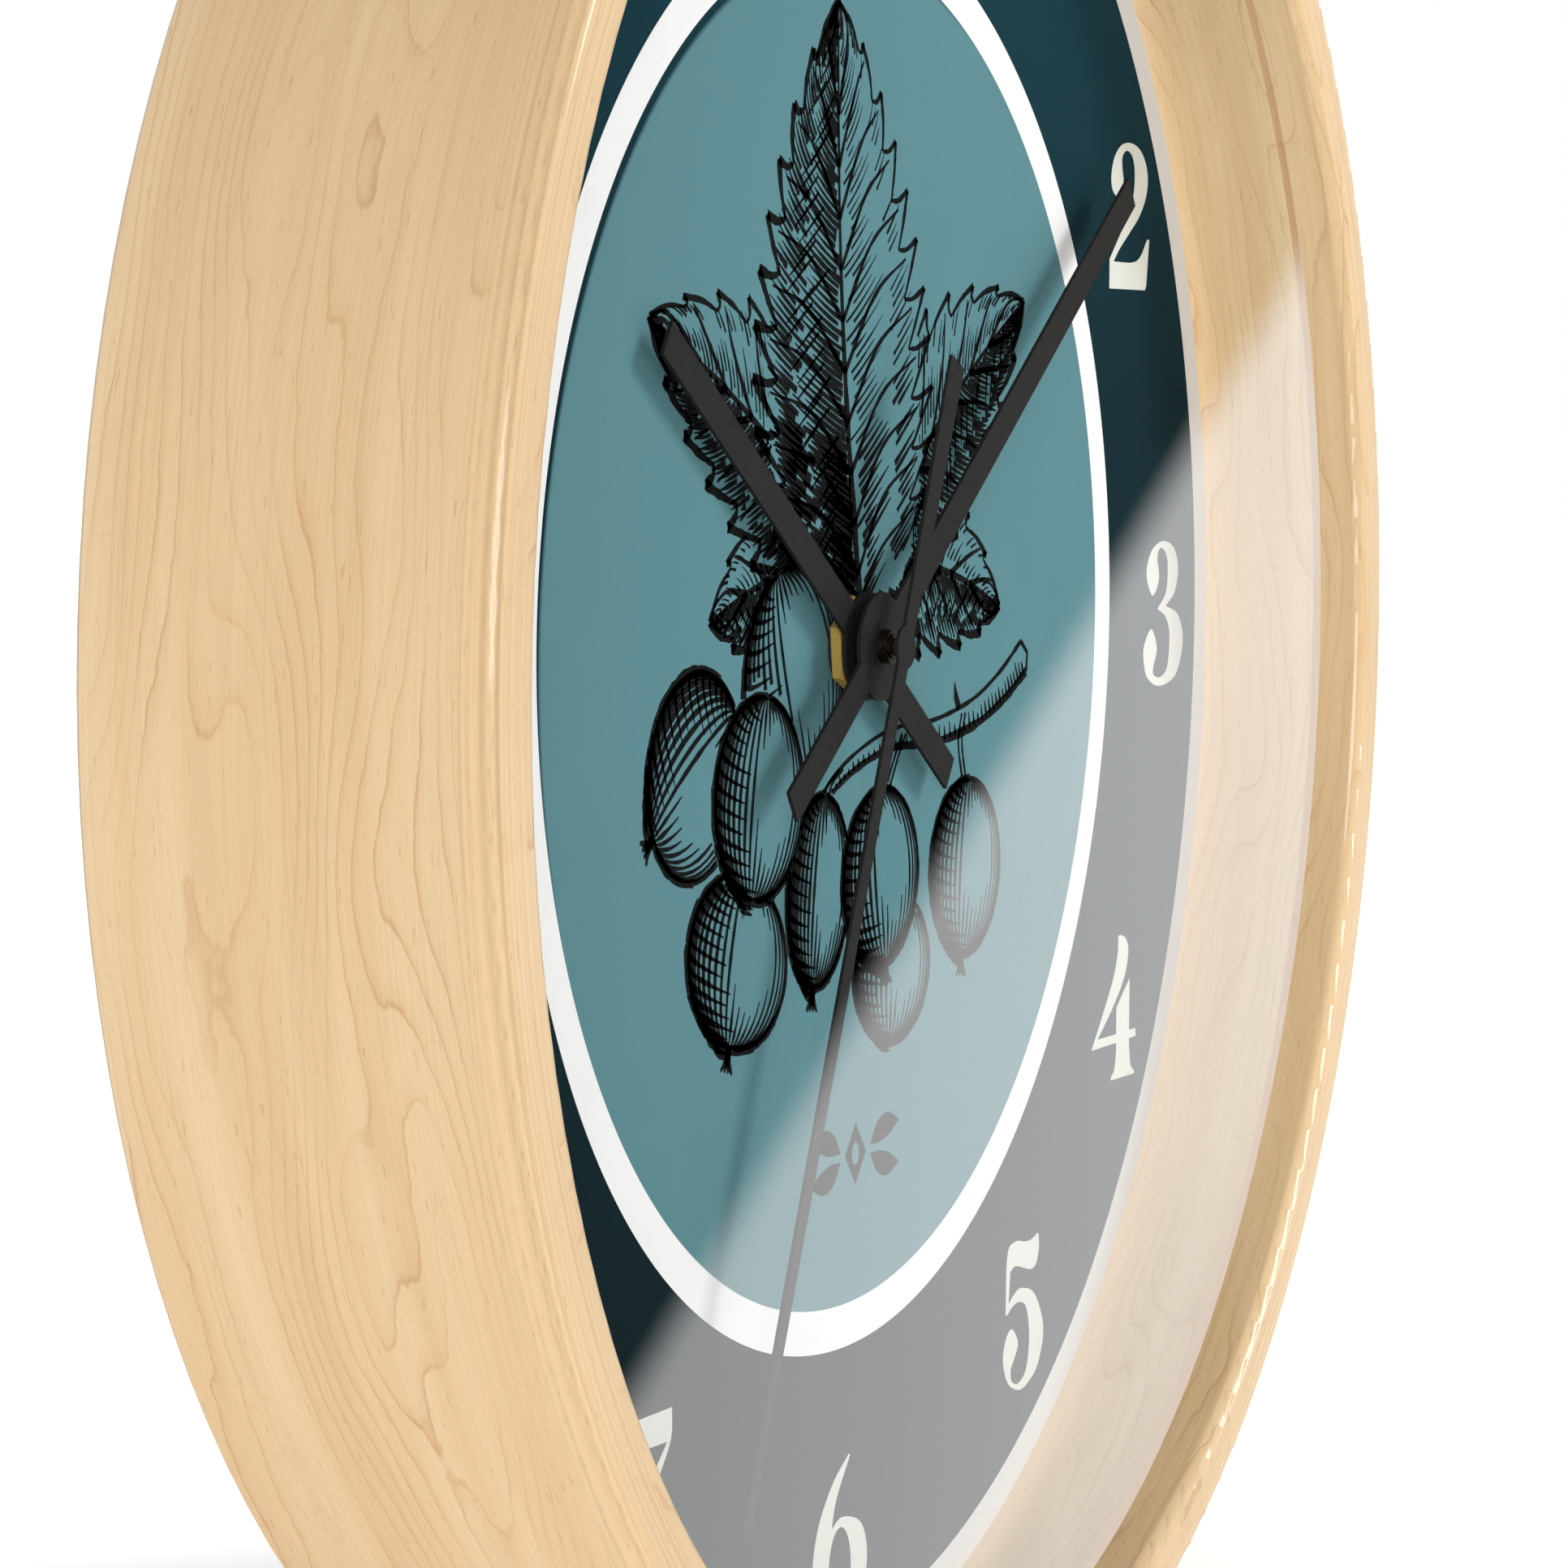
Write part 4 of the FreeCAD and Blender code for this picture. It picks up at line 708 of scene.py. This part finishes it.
# ---- a small plain ornament below the picture: a lozenge between two pairs of leaves ----
ORNAMENT_CENTRE = (3.7, -58.7)
LOZENGE = [(0.0, 3.6, 1), (3.0, 0.0, 1), (0.0, -3.6, 1), (-3.0, 0.0, 1)]
LOZENGE_EYE = (0.0, 0.0, 1.0, 1.3)
SIDE_LEAF = [(4.2, 0.2, 1), (6.2, 2.6), (9.2, 3.4), (12.6, 2.2, 1), (10.0, 0.9), (7.0, 0.2)]


def ornament_outlines():
    """The lozenge with its eye, and one leaf mirrored into all four quarters."""
    outlines = [smooth_outline(LOZENGE), oval(*LOZENGE_EYE)]
    for flip_x in (1, -1):
        for flip_z in (1, -1):
            leaf = [(flip_x * x, flip_z * (z + 0.3), *rest) for x, z, *rest in SIDE_LEAF]
            outlines.append(smooth_outline(leaf))
    return [[(point[0] + ORNAMENT_CENTRE[0], point[1] + ORNAMENT_CENTRE[1]) for point in outline]
            for outline in outlines]


# ---- the engraving: a lobed leaf over a hanging cluster of berries ----
chance = random.Random(11)
WEIGHT = 1.35                           # how heavily every stroke is inked
TEETH_START = 0.06                      # where a lobe's teeth begin, as a share of its midrib
WIDEST = 0.448                          # the greatest value of the curve that shapes a lobe
OUTLINE_ARCS = 12                       # how many arcs a berry's outline is drawn in
MERIDIANS = 20
PARALLELS = 19
THORN_PLACE = 19                        # the thorn's place among the points of the twig's edge


class Engraving:
    """Ink strokes gathered into one mesh: tapered ribbons, broken where something covers them."""

    def __init__(self):
        self.vertices = []
        self.faces = []

    def stroke(self, line, widths, covers=()):
        """A ribbon along line; widths are its start, middle and end widths."""
        run = []
        last = len(line) - 1
        for number, point in enumerate(line):
            if any(cover(point) for cover in covers):
                self.ribbon(run)
                run = []
            else:
                t = 2 * number / last
                low, high = (widths[0], widths[1]) if t < 1 else (widths[1], widths[2])
                width = low + (high - low) * (t % 1 if t < 2 else 1)
                run.append((Vector(point), WEIGHT * width * chance.uniform(0.82, 1.18)))
        self.ribbon(run)

    def ribbon(self, run):
        if len(run) < 2:
            return
        first = len(self.vertices)
        for number, (point, width) in enumerate(run):
            before = run[max(number - 1, 0)][0]
            after = run[min(number + 1, len(run) - 1)][0]
            way = (after - before).normalized()
            side = Vector((-way.y, way.x)) * (width / 2)
            self.vertices += [on_dial(point + side, INK_LAYER), on_dial(point - side, INK_LAYER),
                              on_dial(point - side, 0.0), on_dial(point + side, 0.0)]
        for number in range(len(run) - 1):
            here = first + 4 * number
            for corner in range(4):
                other = (corner + 1) % 4
                self.faces.append((here + corner, here + other, here + 4 + other, here + 4 + corner))
        last = first + 4 * (len(run) - 1)
        self.faces.append((first + 3, first + 2, first + 1, first))
        self.faces.append((last, last + 1, last + 2, last + 3))


class Lobe:
    """One pointed, toothed lobe of the leaf, drawn about a curved midrib."""

    def __init__(self, base, tip, half_width, bend, teeth, dark_side):
        self.base = Vector(base)
        self.rib = Vector(tip) - self.base
        self.side = Vector((self.rib.y, -self.rib.x)).normalized()
        self.half_width = half_width
        self.bend = bend
        self.teeth = teeth
        self.dark_side = dark_side

    def half(self, t):
        """Half the lobe's width at a share t of the way to its tip."""
        return self.half_width * (1 - t) ** 0.8 * (t + 0.05) ** 0.5 / WIDEST

    def at(self, t, s):
        """The point at t along the midrib and s across, from -1 to 1 at the margins."""
        t = min(max(t, 0.0), 1.0)
        middle = self.base + self.rib * t + self.side * (self.bend * math.sin(math.pi * t))
        return middle + self.side * (s * self.half(t))

    def covers(self, point):
        offset = Vector(point) - self.base
        t = offset.dot(self.rib) / self.rib.length_squared
        if not 0 <= t <= 1:
            return False
        across = offset.dot(self.side) - self.bend * math.sin(math.pi * t)
        return abs(across) < self.half(t) * 0.97

    def draw(self, ink, covers):
        for side in (-1, 1):
            dark = side == self.dark_side
            self.draw_margin(ink, side, 0.75 if dark else 0.5, covers)
            self.draw_hatching(ink, side, dark, covers)
        rib = [self.at(t / 30, 0.0) for t in range(31)]
        ink.stroke(rib, (1.3, 0.7, 0.3), covers)

    def draw_margin(self, ink, side, width, covers):
        """Teeth that lean towards the tip, each a long back and a short front."""
        for tooth in range(self.teeth):
            reach = (1 - TEETH_START) / self.teeth
            start = TEETH_START + reach * tooth
            back = [self.at(start, side * 0.86), self.at(start + reach * 0.55, side * 1.0),
                    self.at(start + reach * 1.15, side * 1.16)]
            front = [back[-1], self.at(start + reach * 0.98, side * 0.98),
                     self.at(start + reach, side * 0.86)]
            ink.stroke(smooth_run(back, False, 5), (width * 0.6, width, width * 1.2), covers)
            ink.stroke(smooth_run(front, False, 4), (width * 1.2, width, width * 0.6), covers)
            vein = [self.at(start - 0.10, 0.0), self.at(start + reach * 0.2, side * 0.45),
                    self.at(start + reach * 0.8, side * 0.95)]
            ink.stroke(smooth_run(vein, False, 6), (0.62, 0.45, 0.22), covers)

    def draw_hatching(self, ink, side, dark, covers):
        """Fine lines that run with the side veins, closer and heavier on the shaded half."""
        lines = round(self.rib.length / (0.85 if dark else 1.0))
        weight = 0.52 if dark else 0.27
        for number in range(lines):
            t = -0.06 + 1.02 * number / lines
            base_shade = 1.8 if t < 0.24 else 1.0
            for inner, outer in self.hatch_spans(dark):
                line = []
                for step in range(7):
                    s = inner + (outer - inner) * step / 6
                    line.append(self.at(t + 0.16 * s ** 1.15, side * s))
                thick = weight * base_shade * chance.uniform(0.7, 1.3)
                ink.stroke(line, (thick, thick * 0.85, thick * 0.25), covers)
            if dark and number % 2:
                start = chance.uniform(0.1, 0.4)
                cross = [self.at(t - 0.05 * step / 4, side * (start + 0.09 * step)) for step in range(5)]
                ink.stroke(cross, (0.3, 0.35, 0.15), covers)

    def hatch_spans(self, dark):
        """The stretches, across the lobe, over which one hatch line is drawn."""
        if dark:
            gap = chance.uniform(0.4, 0.7)
            return [(chance.uniform(0.0, 0.08), gap),
                    (gap + chance.uniform(0.03, 0.1), chance.uniform(0.85, 0.99))]
        spans = [(chance.uniform(0.03, 0.2), chance.uniform(0.3, 0.6))]
        if chance.random() < 0.75:
            spans.append((chance.uniform(0.6, 0.75), chance.uniform(0.88, 0.98)))
        return spans


class Berry:
    """One oval berry, hatched like a globe, lit from the upper right, with a tuft at its foot."""

    def __init__(self, x, z, half_width, half_height, lean, tuft=True):
        self.centre = Vector((x, z))
        self.half_width = half_width
        self.half_height = half_height
        self.lean = math.radians(lean)
        self.tuft = tuft

    def at(self, across, up):
        """A point of the berry; across and up run from -1 to 1 before it leans."""
        x = across * self.half_width
        z = up * self.half_height
        leaned = Vector((x * math.cos(self.lean) + z * math.sin(self.lean),
                         z * math.cos(self.lean) - x * math.sin(self.lean)))
        return self.centre + leaned

    def covers(self, point):
        offset = Vector(point) - self.centre
        x = offset.x * math.cos(self.lean) - offset.y * math.sin(self.lean)
        z = offset.x * math.sin(self.lean) + offset.y * math.cos(self.lean)
        return (x / self.half_width) ** 2 + (z / self.half_height) ** 2 < 1.0

    def draw(self, ink, covers):
        for number in range(OUTLINE_ARCS):
            turns = [2 * math.pi * (number + step / 6) / OUTLINE_ARCS for step in range(7)]
            arc = [self.at(math.sin(turn), math.cos(turn)) for turn in turns]
            shade = 0.5 - 0.5 * math.sin(turns[3] + math.radians(35))
            weight = 0.4 + 0.75 * shade
            ink.stroke(arc, (weight, weight, weight), covers)
        self.draw_meridians(ink, covers)
        self.draw_parallels(ink, covers)
        if self.tuft:
            self.draw_tuft(ink, covers)

    def draw_meridians(self, ink, covers):
        """Lines from crown to foot; those that cross the lit patch are broken there."""
        for number in range(1, MERIDIANS):
            bulge = math.sin(math.radians(-84 + 168 * number / MERIDIANS))
            weight = 0.5 - 0.22 * bulge
            lit = -0.1 < bulge < 0.75
            spans = [(8, 172)]
            if lit:
                edge = 42 * (1 - abs(bulge - 0.33) / 0.6)
                spans = [(10, 78 - edge * chance.uniform(0.8, 1.2)),
                         (84 + edge * chance.uniform(0.8, 1.3), 170)]
            for low, high in spans:
                if high - low < 6:
                    continue
                count = max(4, round((high - low) / 9))
                angles = [math.radians(low + (high - low) * step / count) for step in range(count + 1)]
                line = [self.at(bulge * math.sin(angle), math.cos(angle)) for angle in angles]
                ends = (0.15, weight, 0.15) if lit else (0.3, weight, 0.3)
                ink.stroke(line, ends, covers)

    def draw_parallels(self, ink, covers):
        """Curved cross-hatching over the shaded left side and the foot."""
        for number in range(1, PARALLELS):
            angle = math.radians(8 + 164 * number / PARALLELS)
            width = math.sin(angle)
            height = math.cos(angle)
            reach = chance.uniform(0.5, 0.8) + 0.5 * max(0.0, -height)
            line = []
            for step in range(9):
                across = -0.99 + reach * step / 8
                sag = 0.16 * math.sqrt(max(0.0, 1 - across * across))
                line.append(self.at(across * width, height - sag))
            weight = 0.36 + 0.24 * max(0.0, -height)
            ink.stroke(line, (weight * 1.5, weight, 0.12), covers)

    def draw_tuft(self, ink, covers):
        foot = self.at(0.0, -1.0)
        down = (foot - self.centre).normalized()
        across = Vector((down.y, -down.x))
        for spread in (-0.7, -0.25, 0.2, 0.65):
            tip = foot + down * 2.6 + across * spread * 2.2
            middle = foot + down * 1.4 + across * spread * 0.7
            ink.stroke(smooth_run([foot - down * 0.4, middle, tip], False, 4), (0.9, 0.7, 0.3), covers)


# Base, tip, half width, bend, teeth and the shaded side (-1 or 1) of each lobe.
LEAF = [
    Lobe((4, 5), (-3, 72.5), 21.5, -2.0, 11, -1),
    Lobe((3, 8), (-51, 36.5), 12.5, 2.5, 8, -1),
    Lobe((6, 8), (53, 40), 12.5, -2.5, 8, 1),
    Lobe((1, 9), (-36, 4), 9.5, 2.0, 6, -1),
    Lobe((8, 9), (46, 3), 9.5, -2.0, 6, 1),
]
# Nearest first: x, z, half width, half height and lean.
BERRIES = [
    Berry(-23, -16, 11.8, 11.4, 10, tuft=False),
    Berry(10.5, -27.2, 11.0, 10.4, -8),
    Berry(36, -28, 10.8, 10.6, 6),
    Berry(-39.5, -12.5, 11.2, 12.0, 60),
    Berry(-28.5, -33.5, 13.0, 9.6, 14),
    Berry(-7, -27.5, 8.6, 11.0, 8),
    Berry(14, -38, 11.0, 8.8, 4, tuft=False),
    Berry(-14, -3.5, 13.4, 13.0, -20, tuft=False),
]
TWIG = [(54, -3.5), (47, -6.8), (38, -9.6), (26, -11.2), (13, -11.4), (1, -14), (-8, -18)]
STALKS = [
    [(35, -9.5), (34, -13), (35.5, -18)],
    [(17, -11), (14.5, -14), (12, -17.5)],
    [(-1, -14), (-4, -15.5), (-5, -17)],
]


def draw_twig(ink, covers):
    """The branch: two edges that close towards its thin end, short bark ticks and one thorn."""
    middle = smooth_run(TWIG, False, 8)
    last = len(middle) - 1
    edges = {-1: [], 1: []}
    for number, point in enumerate(middle):
        way = (middle[min(number + 1, last)] - middle[max(number - 1, 0)]).normalized()
        half = 2.1 - 1.5 * number / last
        for side, edge in edges.items():
            edge.append(point + Vector((-way.y, way.x)) * side * half)
    ink.stroke(edges[-1], (0.5, 0.45, 0.35), covers)
    ink.stroke(edges[1], (0.9, 0.8, 0.5), covers)
    ink.stroke([edges[-1][0], middle[0] + Vector((1.2, 0.4)), edges[1][0]], (0.5, 0.6, 0.5), covers)
    for number in range(1, last):
        low, high = edges[1][number], edges[-1][number]
        tick = [low, low.lerp(high, 0.25), low.lerp(high, chance.uniform(0.35, 0.7))]
        ink.stroke(tick, (0.5, 0.4, 0.15), covers)
    thorn = edges[-1][THORN_PLACE]
    ink.stroke([thorn, thorn + Vector((-1.0, 1.5)), thorn + Vector((-1.4, 3.2))], (1.3, 0.8, 0.2), covers)
    for stalk in STALKS:
        line = smooth_run(stalk, False, 6)
        for side in (-0.55, 0.55):
            ink.stroke([point + Vector((side, 0)) for point in line], (0.4, 0.35, 0.5), covers)


def engraving():
    """The whole picture; whatever is nearer the front hides the strokes behind it."""
    ink = Engraving()
    fruit = []
    for berry in BERRIES:
        berry.draw(ink, [other.covers for other in fruit])
        fruit.append(berry)
    covers = [berry.covers for berry in BERRIES]
    draw_twig(ink, covers)
    for lobe in LEAF:
        lobe.draw(ink, covers)
        covers.append(lobe.covers)
    add_piece("dial_engraving", ink.vertices, ink.faces, LOOKS["ink"])


printed_ring("dial_field", (0, 0), FIELD_RADIUS, (0, 0), HOLE_RADIUS, FIELD_LAYER, LOOKS["field"])
printed_ring("dial_disc", DISC_CENTRE, DISC_RADIUS, (0, 0), HOLE_RADIUS, DISC_LAYER, LOOKS["disc"])
printed_ring("dial_ring", WHITE_RING_CENTRE, WHITE_RING_RADII[1], WHITE_RING_CENTRE, WHITE_RING_RADII[0],
             RING_LAYER, LOOKS["white_ring"])
all_numerals = [outline for number in range(1, 13) for outline in numeral_outlines(number)]
filled("dial_numerals", all_numerals, NUMERAL_LAYER, LOOKS["numerals"])
filled("dial_ornament", ornament_outlines(), INK_LAYER, LOOKS["ink"])
engraving()


# ---- studio: pale floor, soft light and the camera ----
def add_stage_plane(name, size, material):
    mesh = bpy.data.meshes.new(name)
    half = size / 2
    corners = [(-half, -half, 0), (half, -half, 0), (half, half, 0), (-half, half, 0)]
    mesh.from_pydata(corners, [], [(0, 1, 2, 3)])
    mesh.materials.append(material)
    plane = bpy.data.objects.new(name, mesh)
    bpy.context.scene.collection.objects.link(plane)
    return plane


def floor_look():
    """A plain pale floor that stays as bright as the backdrop wherever it isn't shaded."""
    look = Look("floor")
    point = look.place()
    haze = look.noise(look.stretched(point, (400, 400, 400)), detail=2.0)
    distance = look.from_axis(point[0], point[1])
    far = look.node("MapRange", interpolation_type="SMOOTHSTEP")
    look.plug(far.inputs["Value"], distance)
    far.inputs["From Min"].default_value = 60.0
    far.inputs["From Max"].default_value = 260.0
    backdrop = look.sum("MULTIPLY", far.outputs[0], look.node("LightPath").outputs["Is Camera Ray"])
    look.set(Base_Color=look.mix(haze, paint(240, 240, 240), paint(244, 244, 244)), Roughness=0.9)
    look.set(Emission_Color=(1, 1, 1, 1), Emission_Strength=look.sum("MULTIPLY_ADD", backdrop, 0.8, 0.38))
    look.set(Specular_IOR_Level=0.0)
    return look.material


def add_light(name, kind, place, **settings):
    """A light that shines from a place towards the clock's centre."""
    data = bpy.data.lights.new(name, kind)
    for key, value in settings.items():
        setattr(data, key, value)
    light = bpy.data.objects.new(name, data)
    light.location = place
    light.rotation_euler = (-Vector(place)).to_track_quat("-Z", "Y").to_euler()
    bpy.context.scene.collection.objects.link(light)


floor = add_stage_plane("floor", 12.0, floor_look())
floor.location.z = ring_low.z - 0.0005

CAMERA_PLACE = Vector((-0.54775, -0.24335, 0.02823))
CAMERA_TURN = (1.49741, -0.00516, -1.14124)
CAMERA_LENS = 121.06

camera_data = bpy.data.cameras.new("camera")
camera_data.lens = CAMERA_LENS
camera_data.sensor_width = 36
camera_data.clip_start = 0.01
camera = bpy.data.objects.new("camera", camera_data)
camera.location = CAMERA_PLACE
camera.rotation_euler = CAMERA_TURN
bpy.context.scene.collection.objects.link(camera)
bpy.context.scene.camera = camera

add_light("key", "AREA", (0.95, -1.3, 0.75), shape="DISK", size=0.7, energy=16)
add_light("fill", "SUN", (-1.86, -0.72, 0.3), angle=math.radians(30), energy=2.1)

# The backdrop is white to the camera, bright in polished parts and a dim soft light elsewhere.
SOFT_LIGHT = 0.19
MIRRORED_LIGHT = 0.75

world = bpy.data.worlds.new("studio")
world.use_nodes = True
tree = world.node_tree
background = tree.nodes["Background"]
rays = tree.nodes.new("ShaderNodeLightPath")
mirrored = tree.nodes.new("ShaderNodeMath")
mirrored.operation = "MULTIPLY_ADD"
tree.links.new(rays.outputs["Is Glossy Ray"], mirrored.inputs[0])
mirrored.inputs[1].default_value = MIRRORED_LIGHT - SOFT_LIGHT
mirrored.inputs[2].default_value = SOFT_LIGHT
strength = tree.nodes.new("ShaderNodeMath")
strength.operation = "MAXIMUM"
tree.links.new(mirrored.outputs[0], strength.inputs[0])
tree.links.new(rays.outputs["Is Camera Ray"], strength.inputs[1])
tree.links.new(strength.outputs[0], background.inputs["Strength"])
background.inputs["Color"].default_value = (1, 1, 1, 1)
bpy.context.scene.world = world
bpy.context.scene.view_settings.view_transform = "Standard"
